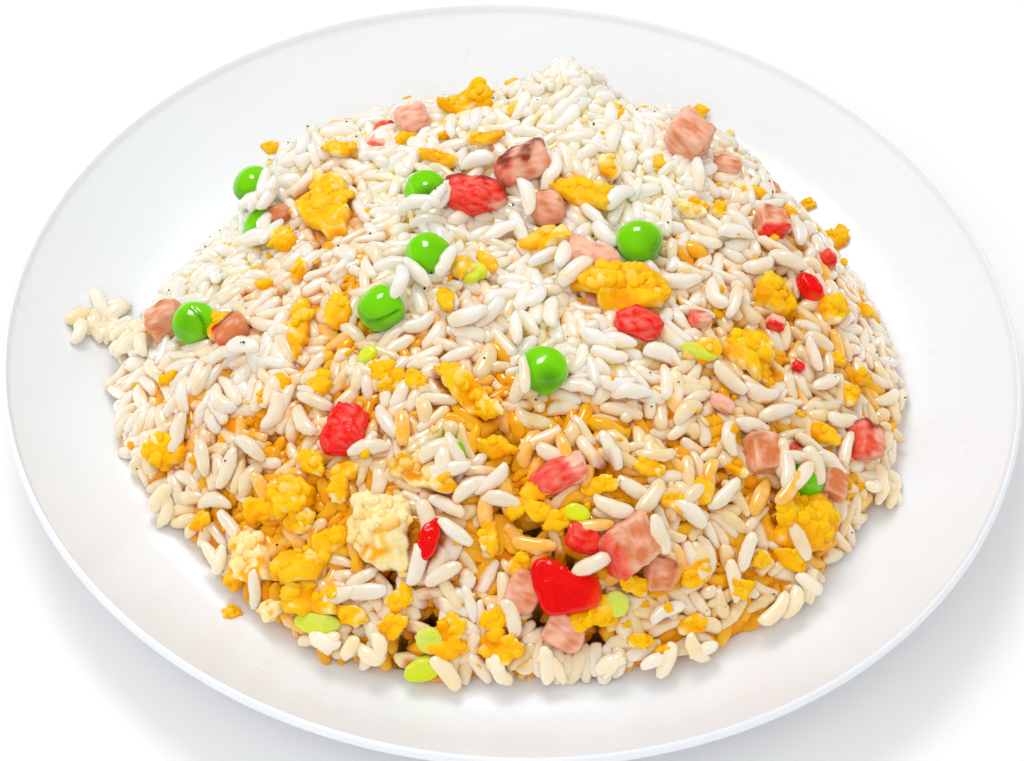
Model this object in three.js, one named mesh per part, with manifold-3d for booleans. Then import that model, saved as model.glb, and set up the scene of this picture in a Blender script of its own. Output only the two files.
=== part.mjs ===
// A plate of fried rice: one round white plate, the heap of rice on it, and the peas, ham, red pepper,
// egg and spring onion that lie in the heap. Millimetres, +Z up. The origin is the middle of the plate's
// foot, on the table. The diner sits at -Y, and +X is to the diner's right.
import * as THREE from "three";
import { mergeVertices } from "three/addons/utils/BufferGeometryUtils.js";
import Module from "manifold-3d";

const wasm = await Module();
wasm.setup();

// Plate
const PLATE_RADIUS = 105;
const PLATE_HEIGHT = 21.5;
const FLOOR_HEIGHT = 6.5;
const FLOOR_RADIUS = 82;
const WALL_THICKNESS = 3.6;
const WALL_CURVE = 1.6;
const FOOT_RADIUS = 62;
const FOOT_WIDTH = 4;
const FOOT_HEIGHT = 2.6;
const FOOT_TAPER = 0.6;
const PLATE_SIDES = 44;
const FACET_ALLOWANCE = 3;
const UNDERSIDE_RADII = [78, 92];
const WALL_RADII = [99, 93, 87];

// The lip's rounded edge, from below to above: distances in from the plate's radius and down from its top.
const LIP = [
  { inward: 0.8, down: 3 },
  { inward: 0, down: 1.4 },
  { inward: 0.6, down: 0 },
  { inward: 2, down: 0.3 },
];

// Heap
const GAP = 0.3;
const UNDERSIDE_GAP = 0.35;
const POCKET_GAP = 0.4;
const HEAP_RADIUS = 81.2;
const CROWN_HEIGHT = 36;
const EDGE_HEIGHT = 3;
const SLOPE_POWER = 2.1;
const CROWN_POWER = 0.8;
const NORMAL_SPAN = 4;

// Grain-sized bumps: a grid of cells from the crown to the foot, and how it is turned, bent and jittered.
const BUMP_SEED = 11;
const BUMP_CELLS = 19;
const CELL_MARGIN = 0.9;
const FLIPS_PER_CELL = 40;
const BUMP_RISE = { low: 0.18, high: 1.62 };
const BUMP_DIP = { low: -0.45, high: -1.35 };
const BUMP_SWIRL = 3.6;
const SWIRL_SPAN = 8;
const GRID_TURN = 0.5;
const GRID_TWIST = 0.35;
const GRID_CROWDING = 0.7;
const CORNER_JITTER = 1.1;
const MIDDLE_JITTER = 1.3;

// Whole grains that stick up from the heap.
const LOOSE_SEED = 29;
const LOOSE_GRAINS = 9;
const LOOSE_CLEARANCE = 2;
const GRAIN_LENGTH = { low: 6, high: 8 };
const GRAIN_WIDTH = 2.4;
const GRAIN_LIFT = { low: 0.24, high: 0.96 };
const GRAIN_TILT = { low: -0.21, high: 0.49 };
const FOOT_BAND = { low: 0.93, high: 1 };
const CROWN_REACH = 0.9;
const GOLDEN_SHARE = (Math.sqrt(5) - 1) / 2;

// Where the heap's outline swells and shrinks: waves round the foot, as amplitude and phase.
const FOOT_WAVES = [
  { count: 1, swell: 2.6, phase: 75 },
  { count: 2, swell: 0.8, phase: 92 },
  { count: 3, swell: 1.1, phase: -93 },
  { count: 4, swell: 0.8, phase: 38 },
  { count: 5, swell: 1.1, phase: -159 },
  { count: 6, swell: 1.5, phase: 11 },
];

// Rises and hollows of the heap: middle, height and spread.
const RISES = [
  { x: 8, y: 50, height: 9, spread: 13 },
  { x: 8, y: 60, height: 10, spread: 6.5 },
  { x: 38, y: 52, height: 9, spread: 15 },
  { x: -18, y: 54, height: 5, spread: 13 },
  { x: -53, y: 48, height: 13, spread: 11 },
  { x: 63, y: 30, height: 6, spread: 13 },
  { x: -54, y: 26, height: -2, spread: 11 },
  { x: 0, y: -30, height: 2, spread: 14 },
  { x: 30, y: -48, height: 3, spread: 13 },
  { x: -35, y: -40, height: 1, spread: 12 },
  { x: 35, y: -8, height: 2, spread: 11 },
  { x: -30, y: 5, height: 2.5, spread: 11 },
  { x: 0, y: 12, height: -2, spread: 9 },
];
const RISE_FADE = 0.2;

// The sight line of the reference picture, which places each topping on the heap: pixels across and
// down from the picture's top left corner, seen from a distance at an angle above the table.
const SIGHT_CENTRE = [512, 380.5];
const SIGHT_SCALE = 3431;
const SIGHT_DISTANCE = 700;
const SIGHT_ELEVATION = THREE.MathUtils.degToRad(48.2);
const SIGHT_ROLL = THREE.MathUtils.degToRad(3);
const SIGHT_AIM = new THREE.Vector3(0, -10.4, 22);
const SIGHT_TOP = 80;
const SIGHT_STEP = 0.1;

// Toppings. at: the picture point of the middle. size: length, width and thickness. turn: degrees about
// the heap's normal. lean: degrees about the piece's own length. lift: height of its middle over the heap.
const PEAS = [
  { at: [254, 187], radius: 4.7, lift: 2 },
  { at: [264, 230], radius: 4.5, lift: -2.8 },
  { at: [427, 192], radius: 4.6, lift: -0.4 },
  { at: [428, 255], radius: 4.7, lift: 0.6 },
  { at: [640, 242], radius: 4.8, lift: 1.6 },
  { at: [381, 308], radius: 4.7, lift: 1.4 },
  { at: [194, 323], radius: 4.7, lift: 1.4 },
  { at: [544, 370], radius: 4.8, lift: 1.8 },
  { at: [803, 477], radius: 4.6, lift: -0.6 },
  { at: [446, 458], radius: 4.5, lift: -3 },
];
const HAM = [
  { at: [170, 323], size: [8, 6, 9], turn: 10, lean: 0, lift: 0.4 },
  { at: [233, 332], size: [7, 6, 6], turn: 30, lean: 10, lift: 0 },
  { at: [413, 121], size: [7, 6, 6], turn: 20, lean: 20, lift: 0.4 },
  { at: [474, 195], size: [12.4, 8, 7], turn: -6, lean: 10, lift: 1.2 },
  { at: [522, 164], size: [11, 7.5, 7], turn: 32, lean: 30, lift: 1.4 },
  { at: [548, 208], size: [7, 7, 7], turn: 0, lean: 0, lift: 0.6 },
  { at: [590, 259], size: [11, 7.5, 6], turn: -24, lean: 15, lift: 0.4 },
  { at: [688, 137], size: [8.5, 8, 9], turn: -28, lean: 10, lift: 2.2 },
  { at: [771, 224], size: [6.5, 6, 6], turn: 15, lean: 0, lift: 1 },
  { at: [640, 323], size: [10, 6.4, 5.5], turn: -5, lean: 10, lift: 1.4 },
  { at: [345, 430], size: [8.5, 10.5, 5.5], turn: -24, lean: 0, lift: 0.8 },
  { at: [561, 474], size: [11.5, 5.8, 5.5], turn: 30, lean: 0, lift: 0.4 },
  { at: [629, 546], size: [9.4, 10.2, 8.5], turn: -52, lean: -16, lift: 1.6 },
  { at: [583, 539], size: [6.5, 5, 6], turn: -10, lean: 0, lift: -0.6 },
  { at: [762, 454], size: [7, 8, 6], turn: 15, lean: 0, lift: 0.4 },
  { at: [829, 483], size: [5.6, 6, 5.5], turn: 0, lean: 0, lift: 0 },
  { at: [863, 442], size: [6, 7.5, 7.5], turn: 8, lean: 0, lift: 1.2 },
  { at: [660, 574], size: [5.4, 7, 5.5], turn: 0, lean: 0, lift: -0.2 },
  { at: [523, 592], size: [6, 8.5, 5], turn: -20, lean: 0, lift: -0.6 },
  { at: [563, 633], size: [8, 6.5, 5], turn: -20, lean: 0, lift: 0 },
];

// The large red pepper piece's notched outline: shares of its half size at even angles, before its turn.
const PEPPER_OUTLINE = [
  1.13, 1.04, 0.66, 0.5, 0.64, 0.87, 1.1, 1.04, 0.94, 0.88, 0.95, 1.07, 0.94, 0.92, 1.02, 1.16,
];
const RED_PEPPER = [
  { at: [563, 586], size: [13.5, 12, 5], turn: -18, lean: -8, lift: 1.6, outline: PEPPER_OUTLINE },
  { at: [429, 540], size: [4, 8.6, 4], turn: -14, lean: 0, lift: 0.8 },
  { at: [809, 288], size: [6.6, 4.2, 4], turn: -40, lean: 0, lift: 0.8 },
];
const EGG = [
  { at: [625, 288], size: [19, 11.5, 4.6], turn: -4, lean: 8, lift: 1.6 },
  { at: [326, 206], size: [11, 20, 4], turn: 22, lean: 0, lift: 0.8 },
  { at: [466, 101], size: [12.5, 5.5, 3.6], turn: 12, lean: 20, lift: 1 },
  { at: [580, 193], size: [16, 6, 3.6], turn: -20, lean: 0, lift: 0.8 },
  { at: [550, 241], size: [9, 6, 4.4], turn: 14, lean: 0, lift: 0.2 },
  { at: [774, 296], size: [9.4, 7.4, 4.2], turn: 0, lean: 0, lift: 0.6 },
  { at: [831, 310], size: [5.6, 7, 4], turn: 0, lean: 0, lift: 0.6 },
  { at: [751, 357], size: [13.5, 7.6, 4], turn: -25, lean: 0, lift: 0.6 },
  { at: [806, 522], size: [16, 12, 4.4], turn: -6, lean: 0, lift: 1 },
  { at: [381, 530], size: [14, 14, 6], turn: 20, lean: 0, lift: 0.6 },
  { at: [424, 474], size: [13, 6.5, 4], turn: -24, lean: 0, lift: 0.6 },
  { at: [468, 392], size: [17, 5.5, 3.6], turn: -42, lean: 0, lift: 0.2 },
  { at: [251, 558], size: [7.2, 12, 5], turn: 12, lean: 0, lift: 0.4 },
  { at: [603, 614], size: [7, 5.5, 4], turn: 30, lean: 0, lift: 0.6 },
  { at: [300, 326], size: [4, 13, 3.4], turn: -6, lean: 0, lift: 0.2 },
  { at: [500, 648], size: [8.4, 6, 4], turn: 10, lean: 0, lift: 0.4 },
  { at: [167, 453], size: [8, 6.5, 4], turn: 8, lean: 0, lift: 0.4 },
  { at: [288, 499], size: [10, 8.5, 4.4], turn: -10, lean: 0, lift: 0.4 },
];
const ONION = [
  { at: [423, 669], size: [7.6, 4.6, 2.6], turn: 22, lean: 0, lift: 0 },
  { at: [616, 604], size: [5.2, 5.2, 2.6], turn: 20, lean: 0, lift: 1 },
  { at: [577, 513], size: [5.2, 3.6, 2.6], turn: -16, lean: 0, lift: 0.8 },
  { at: [317, 623], size: [10, 4.2, 2.6], turn: -8, lean: 0, lift: 0.6 },
];

// Shapes of the scraps: how far corners are drawn in, how rough the faces are, and how many waves they hold.
const OUTLINED_STEPS = [4, 3, 1];
const SCRAP_ROUNDNESS = 0.55;
const SCRAP_ROUGHNESS = 1.1;
const WAVE_ALONG = 4.2;
const WAVE_ACROSS = 3.4;
const PEA_FLATNESS = 0.95;

// A seeded random number from 0 to 1, the same on each run.
function seeded(seed) {
  let state = seed >>> 0;
  return () => {
    state = (state + 0x6d2b79f5) >>> 0;
    let t = Math.imul(state ^ (state >>> 15), 1 | state);
    t = (t + Math.imul(t ^ (t >>> 7), 61 | t)) ^ t;
    return ((t ^ (t >>> 14)) >>> 0) / 4294967296;
  };
}

// A random number between a range's ends.
const drawFrom = (range, random) => range.low + (range.high - range.low) * random();

// The heap's plan radius at an angle: a circle with waves.
function footRadius(angle) {
  return FOOT_WAVES.reduce(
    (radius, w) => radius + w.swell * Math.cos(w.count * angle - THREE.MathUtils.degToRad(w.phase)),
    HEAP_RADIUS,
  );
}

// The heap's height over the table at a point of its plan: a dome with a steep edge, and soft rises on it.
function heapHeight(x, y) {
  const share = Math.min(1, Math.hypot(x, y) / footRadius(Math.atan2(y, x)));
  const dome = (CROWN_HEIGHT - EDGE_HEIGHT) * (1 - share ** SLOPE_POWER) ** CROWN_POWER;
  const fade = THREE.MathUtils.smoothstep(1 - share, 0, RISE_FADE);
  return RISES.reduce((height, rise) => {
    const away = ((x - rise.x) ** 2 + (y - rise.y) ** 2) / rise.spread ** 2;
    return height + fade * rise.height * Math.exp(-away / 2);
  }, FLOOR_HEIGHT + EDGE_HEIGHT + dome);
}

// The plate's upper face at a radius: flat floor, then a wall that curves up to the lip.
function plateTop(radius) {
  const share = Math.max(0, (radius - FLOOR_RADIUS) / (PLATE_RADIUS - FLOOR_RADIUS));
  return FLOOR_HEIGHT + (PLATE_HEIGHT - FLOOR_HEIGHT) * share ** WALL_CURVE;
}

// Height of whatever lies uppermost at a point: the heap, or the plate outside it.
function surfaceHeight(x, y) {
  const radius = Math.hypot(x, y);
  return radius < footRadius(Math.atan2(y, x)) ? heapHeight(x, y) : plateTop(radius);
}

// The surface's upward normal at a point, from the slopes over a span of a few grains.
function surfaceNormal(x, y) {
  const step = NORMAL_SPAN / 2;
  const slopeX = (surfaceHeight(x + step, y) - surfaceHeight(x - step, y)) / NORMAL_SPAN;
  const slopeY = (surfaceHeight(x, y + step) - surfaceHeight(x, y - step)) / NORMAL_SPAN;
  return new THREE.Vector3(-slopeX, -slopeY, 1).normalize();
}

// The point where the sight line through a picture point first meets the surface raised by lift.
function sighted([across, down], lift) {
  const ahead = new THREE.Vector3(0, Math.cos(SIGHT_ELEVATION), -Math.sin(SIGHT_ELEVATION));
  const right = new THREE.Vector3(1, 0, 0);
  const up = new THREE.Vector3().crossVectors(right, ahead);
  const dx = (across - SIGHT_CENTRE[0]) / SIGHT_SCALE;
  const dy = (down - SIGHT_CENTRE[1]) / SIGHT_SCALE;
  const x = Math.cos(SIGHT_ROLL) * dx + Math.sin(SIGHT_ROLL) * dy;
  const y = Math.cos(SIGHT_ROLL) * dy - Math.sin(SIGHT_ROLL) * dx;
  const line = ahead.clone().addScaledVector(right, x).addScaledVector(up, -y).normalize();
  const point = SIGHT_AIM.clone().addScaledVector(ahead, -SIGHT_DISTANCE);
  point.addScaledVector(line, (point.z - SIGHT_TOP) / -line.z);
  while (point.z > surfaceHeight(point.x, point.y) + lift) point.addScaledVector(line, SIGHT_STEP);
  return point;
}

// Solid from a closed geometry whose shared vertices are merged.
function solidOf(geometry) {
  geometry.deleteAttribute("normal");
  geometry.deleteAttribute("uv");
  const merged = mergeVertices(geometry, 1e-4);
  return new wasm.Manifold(
    new wasm.Mesh({
      numProp: 3,
      vertProperties: merged.attributes.position.array,
      triVerts: new Uint32Array(merged.index.array),
    }),
  );
}

// The largest body of a solid, so that a scrap left by a cut is dropped.
function largestBody(solid) {
  return solid.decompose().reduce((best, body) => (body.volume() > best.volume() ? body : best));
}

function meshOf(name, solid, material) {
  const { vertProperties, triVerts } = solid.getMesh();
  const geometry = new THREE.BufferGeometry()
    .setAttribute("position", new THREE.BufferAttribute(new Float32Array(vertProperties), 3))
    .setIndex(new THREE.BufferAttribute(new Uint32Array(triVerts), 1));
  geometry.computeVertexNormals();
  const mesh = new THREE.Mesh(geometry, material);
  mesh.name = name;
  return mesh;
}

// The plate turned about its axis: foot ring, underside, rounded lip, curved wall and flat floor.
function plateGeometry() {
  const profile = [
    [0, FOOT_HEIGHT],
    [FOOT_RADIUS - FOOT_WIDTH, FOOT_HEIGHT],
    [FOOT_RADIUS - FOOT_WIDTH + FOOT_TAPER, 0],
    [FOOT_RADIUS - FOOT_TAPER, 0],
    [FOOT_RADIUS, FOOT_HEIGHT],
    ...UNDERSIDE_RADII.map((radius) => [radius, plateTop(radius + 1) - WALL_THICKNESS]),
    ...LIP.map((edge) => [PLATE_RADIUS - edge.inward, PLATE_HEIGHT - edge.down]),
    ...WALL_RADII.map((radius) => [radius, plateTop(radius)]),
    [FLOOR_RADIUS - 2, FLOOR_HEIGHT],
    [0, FLOOR_HEIGHT],
  ].map(([radius, height]) => new THREE.Vector2(radius, height));
  return new THREE.LatheGeometry(profile, PLATE_SIDES).rotateX(Math.PI / 2);
}

// Pairs up the cells of a round patch of the grid, as tiles that each hold a grain. It starts from blocks
// of two tiles side by side, and at random turns two such tiles a quarter round.
function grainPairs(random) {
  const key = (i, j) => `${i},${j}`;
  const partner = new Map();
  const pair = (a, b) => {
    partner.set(a, b);
    partner.set(b, a);
  };
  for (let i = -BUMP_CELLS - 1; i <= BUMP_CELLS; i += 2)
    for (let j = -BUMP_CELLS - 1; j <= BUMP_CELLS; j += 2) {
      if (Math.hypot(i + 1, j + 1) > BUMP_CELLS - CELL_MARGIN) continue;
      pair(key(i, j), key(i + 1, j));
      pair(key(i, j + 1), key(i + 1, j + 1));
    }
  const flips = FLIPS_PER_CELL * BUMP_CELLS ** 2;
  for (let n = 0; n < flips; n++) {
    const i = Math.floor((2 * random() - 1) * BUMP_CELLS);
    const j = Math.floor((2 * random() - 1) * BUMP_CELLS);
    const [a, b, c, d] = [key(i, j), key(i + 1, j), key(i, j + 1), key(i + 1, j + 1)];
    if (!partner.has(a)) continue;
    if (partner.get(a) === b && partner.get(c) === d) {
      pair(a, c);
      pair(b, d);
    } else if (partner.get(a) === c && partner.get(b) === d) {
      pair(a, b);
      pair(c, d);
    }
  }
  return partner;
}

// The heap as one closed mesh. Each grain-sized tile of its top has a ridge over two cell middles, with
// low corners round it. The rim drops to a flat underside just over the plate's floor.
function heapGeometry() {
  const random = seeded(BUMP_SEED);
  const partner = grainPairs(random);
  const points = [];
  const faces = [];
  const corners = new Map();
  const middles = new Map();
  const place = (i, j, jitter) => {
    const share = Math.min(1, Math.hypot(i, j) / BUMP_CELLS);
    const angle = Math.atan2(j, i) + GRID_TURN + GRID_TWIST * share;
    const radius = (footRadius(angle) * Math.sin(share * GRID_CROWDING)) / Math.sin(GRID_CROWDING);
    const [x, y] = [radius * Math.cos(angle), radius * Math.sin(angle)];
    const swirl = BUMP_SWIRL * (1 - share ** 4);
    return [
      x + swirl * Math.sin(y / SWIRL_SPAN + 1) + jitter * (random() - 0.5),
      y + swirl * Math.sin(x / SWIRL_SPAN) + jitter * (random() - 0.5),
    ];
  };
  const add = (i, j, jitter, rise) => {
    const [x, y] = place(i, j, jitter);
    const point = new THREE.Vector3(x, y, heapHeight(x, y));
    return points.push([...point.addScaledVector(surfaceNormal(x, y), rise)]) - 1;
  };
  const corner = (i, j) => {
    const key = `${i},${j}`;
    if (!corners.has(key)) corners.set(key, add(i, j, CORNER_JITTER, drawFrom(BUMP_DIP, random)));
    return corners.get(key);
  };
  for (const key of partner.keys()) {
    const [i, j] = key.split(",").map(Number);
    middles.set(key, add(i + 0.5, j + 0.5, MIDDLE_JITTER, drawFrom(BUMP_RISE, random)));
  }
  const next = new Map();
  for (const key of partner.keys()) {
    const [i, j] = key.split(",").map(Number);
    const sides = [
      [[i, j], [i + 1, j], [i, j - 1]],
      [[i + 1, j], [i + 1, j + 1], [i + 1, j]],
      [[i + 1, j + 1], [i, j + 1], [i, j + 1]],
      [[i, j + 1], [i, j], [i - 1, j]],
    ];
    for (const [from, to, beyond] of sides) {
      const start = corner(...from);
      const end = corner(...to);
      const across = `${beyond[0]},${beyond[1]}`;
      const third = partner.get(key) === across ? middles.get(across) : end;
      faces.push([middles.get(key), start, third]);
      if (!partner.has(across)) next.set(start, end);
    }
  }
  const rim = [next.keys().next().value];
  while (next.get(rim.at(-1)) !== rim[0]) rim.push(next.get(rim.at(-1)));
  const under = rim.map((top) => {
    const [x, y] = points[top];
    return points.push([x, y, plateTop(Math.hypot(x, y) + FACET_ALLOWANCE) + UNDERSIDE_GAP]) - 1;
  });
  rim.forEach((top, n) => {
    const m = (n + 1) % rim.length;
    faces.push([rim[m], top, under[n]], [rim[m], under[n], under[m]]);
  });
  const outline = under.map((n) => new THREE.Vector2(points[n][0], points[n][1]));
  for (const [a, b, c] of THREE.ShapeUtils.triangulateShape(outline, []))
    faces.push(
      THREE.ShapeUtils.area([outline[a], outline[b], outline[c]]) > 0
        ? [under[a], under[c], under[b]]
        : [under[a], under[b], under[c]],
    );
  return new THREE.BufferGeometry()
    .setAttribute("position", new THREE.Float32BufferAttribute(points.flat(), 3))
    .setIndex(faces.flat());
}

// The loose grains, two in three of them round the heap's foot: capsules of a real grain's size, laid at
// random along the surface. A grain that would cross a topping is skipped.
function looseGrains(toppings) {
  const random = seeded(LOOSE_SEED);
  const grains = [];
  for (let n = 0; n < LOOSE_GRAINS; n++) {
    const atFoot = n % 3 > 0;
    const share = atFoot ? drawFrom(FOOT_BAND, random) : Math.sqrt(random()) * CROWN_REACH;
    const angle = 2 * Math.PI * ((n * GOLDEN_SHARE) % 1);
    const radius = share * footRadius(angle) - GRAIN_WIDTH;
    const length = drawFrom(GRAIN_LENGTH, random);
    const point = new THREE.Vector3(radius * Math.cos(angle), radius * Math.sin(angle), 0);
    point.z = heapHeight(point.x, point.y) + drawFrom(GRAIN_LIFT, random);
    const heading = 2 * Math.PI * random();
    const tilt = drawFrom(GRAIN_TILT, random);
    const clear = toppings.every(
      (topping) => topping.point.distanceTo(point) > topping.reach + length / 2 + LOOSE_CLEARANCE,
    );
    if (!clear) continue;
    const normal = surfaceNormal(point.x, point.y);
    const along = new THREE.Vector3(Math.cos(heading), Math.sin(heading), 0)
      .projectOnPlane(normal)
      .normalize()
      .addScaledVector(normal, tilt)
      .normalize();
    const grain = new THREE.CapsuleGeometry(GRAIN_WIDTH / 2, length - GRAIN_WIDTH, 1, 5);
    const turn = new THREE.Quaternion().setFromUnitVectors(new THREE.Vector3(0, 1, 0), along);
    grains.push(solidOf(grain.applyQuaternion(turn).translate(...point)));
  }
  return grains;
}

// A box whose corners are drawn in by a share (0 keeps the box, 1 gives a ball) and roughened at random.
function roundedBlock([length, width, height], steps, roundness, roughness, seed, grow) {
  const random = seeded(seed);
  const geometry = new THREE.BoxGeometry(2, 2, 2, ...steps);
  geometry.deleteAttribute("normal");
  geometry.deleteAttribute("uv");
  const merged = mergeVertices(geometry, 1e-4);
  const position = merged.attributes.position;
  for (let n = 0; n < position.count; n++) {
    const [x, y, z] = [position.getX(n), position.getY(n), position.getZ(n)];
    const drawn = (own, one, two) =>
      own * Math.sqrt(1 - roundness * (one ** 2 / 2 + two ** 2 / 2 - (one * two) ** 2 / 3));
    const rough = () => roughness * (random() - 0.5);
    position.setXYZ(
      n,
      drawn(x, y, z) * (length / 2 + grow) + rough(),
      drawn(y, z, x) * (width / 2 + grow) + rough(),
      drawn(z, x, y) * (height / 2 + grow) + rough(),
    );
  }
  return merged;
}

// A thin scrap that waves along and across, with an uneven outline.
function wavyScrap(size, steps, wave, seed, grow) {
  const merged = roundedBlock(size, steps, SCRAP_ROUNDNESS, SCRAP_ROUGHNESS, seed, grow);
  const position = merged.attributes.position;
  for (let n = 0; n < position.count; n++) {
    const [x, y] = [position.getX(n), position.getY(n)];
    const along = Math.sin((x / size[0]) * WAVE_ALONG + seed);
    const across = Math.cos((y / size[1]) * WAVE_ACROSS + 2 * seed);
    position.setZ(n, position.getZ(n) + wave * along * across);
  }
  return merged;
}

const peaShape = (row, _seed, grow) =>
  new THREE.IcosahedronGeometry(row.radius + grow, 1).scale(1, 1, PEA_FLATNESS);
const diceShape = (row, seed, grow) => roundedBlock(row.size, [2, 1, 1], 0.3, 0.9, seed, grow);

// A scrap of pepper. One with an outline is drawn out or in to it, straight between the outline's corners.
function pepperShape(row, seed, grow) {
  if (!row.outline) return wavyScrap(row.size, [2, 2, 1], 0.6, seed, grow);
  const scrap = wavyScrap(row.size, OUTLINED_STEPS, 0.6, seed, grow);
  const position = scrap.attributes.position;
  for (let n = 0; n < position.count; n++) {
    const [x, y] = [position.getX(n), position.getY(n)];
    const angle = Math.atan2(y / row.size[1], x / row.size[0]) + THREE.MathUtils.degToRad(row.turn);
    const place = THREE.MathUtils.euclideanModulo(angle / (2 * Math.PI), 1) * row.outline.length;
    const corner = Math.floor(place);
    const next = (corner + 1) % row.outline.length;
    const share = THREE.MathUtils.lerp(row.outline[corner], row.outline[next], place - corner);
    position.setX(n, x * share);
    position.setY(n, y * share);
  }
  return scrap;
}
const eggShape = (row, seed, grow) => wavyScrap(row.size, [3, 2, 1], 0.9, seed, grow);
const onionShape = (row, seed, grow) => wavyScrap(row.size, [2, 2, 1], 0.4, seed, grow);

// Moves a shape to its place: thickness along the heap's normal, then its lean and turn.
function placed(geometry, row, point) {
  const normal = surfaceNormal(point.x, point.y);
  const flat = new THREE.Quaternion().setFromUnitVectors(new THREE.Vector3(0, 0, 1), normal);
  const own = new THREE.Quaternion().setFromEuler(
    new THREE.Euler(
      THREE.MathUtils.degToRad(row.lean ?? 0),
      0,
      THREE.MathUtils.degToRad(row.turn ?? 0),
      "ZXY",
    ),
  );
  const matrix = new THREE.Matrix4().compose(
    point,
    flat.multiply(own),
    new THREE.Vector3(1, 1, 1),
  );
  return geometry.applyMatrix4(matrix);
}

const MATERIALS = {
  porcelain: new THREE.MeshStandardMaterial({ color: 0xf8f8f7, roughness: 0.12, metalness: 0 }),
  rice: new THREE.MeshStandardMaterial({ color: 0xf3e7cf, roughness: 0.4, metalness: 0 }),
  pea: new THREE.MeshStandardMaterial({ color: 0x3fa80f, roughness: 0.3, metalness: 0 }),
  ham: new THREE.MeshStandardMaterial({ color: 0xdd8a7c, roughness: 0.5, metalness: 0 }),
  pepper: new THREE.MeshStandardMaterial({ color: 0xd81f12, roughness: 0.2, metalness: 0 }),
  egg: new THREE.MeshStandardMaterial({ color: 0xffc30d, roughness: 0.5, metalness: 0 }),
  onion: new THREE.MeshStandardMaterial({ color: 0xb5cf3a, roughness: 0.35, metalness: 0 }),
};

const KINDS = [
  { name: "pea", rows: PEAS, shape: peaShape, material: MATERIALS.pea },
  { name: "red_pepper", rows: RED_PEPPER, shape: pepperShape, material: MATERIALS.pepper },
  { name: "ham", rows: HAM, shape: diceShape, material: MATERIALS.ham },
  { name: "spring_onion", rows: ONION, shape: onionShape, material: MATERIALS.onion },
  { name: "egg", rows: EGG, shape: eggShape, material: MATERIALS.egg },
];

const plateOfRice = new THREE.Group();
const plate = solidOf(plateGeometry());
plateOfRice.add(meshOf("plate", plate, MATERIALS.porcelain));

// Each topping is cut round the ones before it and round the plate, then the heap is cut round them all.
const taken = [solidOf(plateGeometry().translate(0, 0, GAP))];
const toppings = [];
for (const kind of KINDS)
  kind.rows.forEach((row, n) => {
    const seed = toppings.length + 2;
    const point = sighted(row.at, row.lift);
    const own = solidOf(placed(kind.shape(row, seed, 0), row, point));
    const fitted = largestBody(taken.reduce((solid, other) => solid.subtract(other), own));
    taken.push(solidOf(placed(kind.shape(row, seed, POCKET_GAP), row, point)));
    toppings.push({ point, reach: row.radius ?? Math.max(...row.size) / 2 });
    plateOfRice.add(meshOf(`${kind.name}_${n + 1}`, fitted, kind.material));
  });
const grown = looseGrains(toppings).reduce((solid, grain) => solid.add(grain), solidOf(heapGeometry()));
const heap = taken.reduce((solid, other) => solid.subtract(other), grown);
plateOfRice.add(meshOf("rice_heap", largestBody(heap), MATERIALS.rice));

export default plateOfRice;
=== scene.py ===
"""Plate of fried rice: the looks of the plate, of each grain in its heap and of what lies among them.

Lengths in the shape functions are millimetres, in the frame's axes: the origin is the middle of the
plate's foot on the table, +Z is up, -Y is towards the diner and +X is to the diner's right. Meshes are
written in metres.
"""

import collections
import functools
import math

import bpy
import numpy as np
from bpy.props import FloatProperty, FloatVectorProperty, IntProperty, PointerProperty
from bpy.types import Operator, Panel, PropertyGroup
from mathutils import Matrix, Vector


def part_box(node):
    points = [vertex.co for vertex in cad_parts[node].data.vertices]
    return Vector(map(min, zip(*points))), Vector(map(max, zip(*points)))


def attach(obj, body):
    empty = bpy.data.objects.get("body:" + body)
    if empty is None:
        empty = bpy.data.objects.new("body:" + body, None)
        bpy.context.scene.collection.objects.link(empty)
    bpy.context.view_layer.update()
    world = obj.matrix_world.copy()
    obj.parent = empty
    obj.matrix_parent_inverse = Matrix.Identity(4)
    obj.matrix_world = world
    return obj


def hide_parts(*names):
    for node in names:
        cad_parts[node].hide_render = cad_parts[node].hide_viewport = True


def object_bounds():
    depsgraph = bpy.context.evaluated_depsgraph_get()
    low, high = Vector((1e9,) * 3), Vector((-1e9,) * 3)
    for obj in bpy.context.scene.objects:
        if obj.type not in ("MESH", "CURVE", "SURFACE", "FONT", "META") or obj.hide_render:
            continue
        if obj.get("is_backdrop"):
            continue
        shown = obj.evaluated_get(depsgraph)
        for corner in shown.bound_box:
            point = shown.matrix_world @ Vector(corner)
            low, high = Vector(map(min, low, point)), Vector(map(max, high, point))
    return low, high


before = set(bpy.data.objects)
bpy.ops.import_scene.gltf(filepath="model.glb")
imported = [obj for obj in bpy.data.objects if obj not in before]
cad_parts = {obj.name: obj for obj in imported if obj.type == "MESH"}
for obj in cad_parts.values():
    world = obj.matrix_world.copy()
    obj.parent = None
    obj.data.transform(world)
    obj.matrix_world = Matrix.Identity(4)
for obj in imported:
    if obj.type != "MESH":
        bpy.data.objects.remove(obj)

bl_info = {
    "name": "Plate of Fried Rice",
    "version": (1, 0, 0),
    "blender": (4, 5, 0),
    "location": "View3D > Sidebar > Fried Rice",
    "description": "Builds a heaped plate of fried rice with what lies in it, grain by grain",
    "category": "Object",
}

MM = 0.001
ROOT = "root"

# The plate's section
PLATE_RADIUS = 105.0
PLATE_HEIGHT = 21.5
FLOOR_HEIGHT = 6.5
FLOOR_RADIUS = 82.0
WALL_CURVE = 1.6
WALL_THICKNESS = 3.6
FOOT_RADIUS = 62.0
FOOT_WIDTH = 4.0
FOOT_HEIGHT = 2.6
LIP_RADIUS = 1.3
PLATE_SIDES = 192

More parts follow.
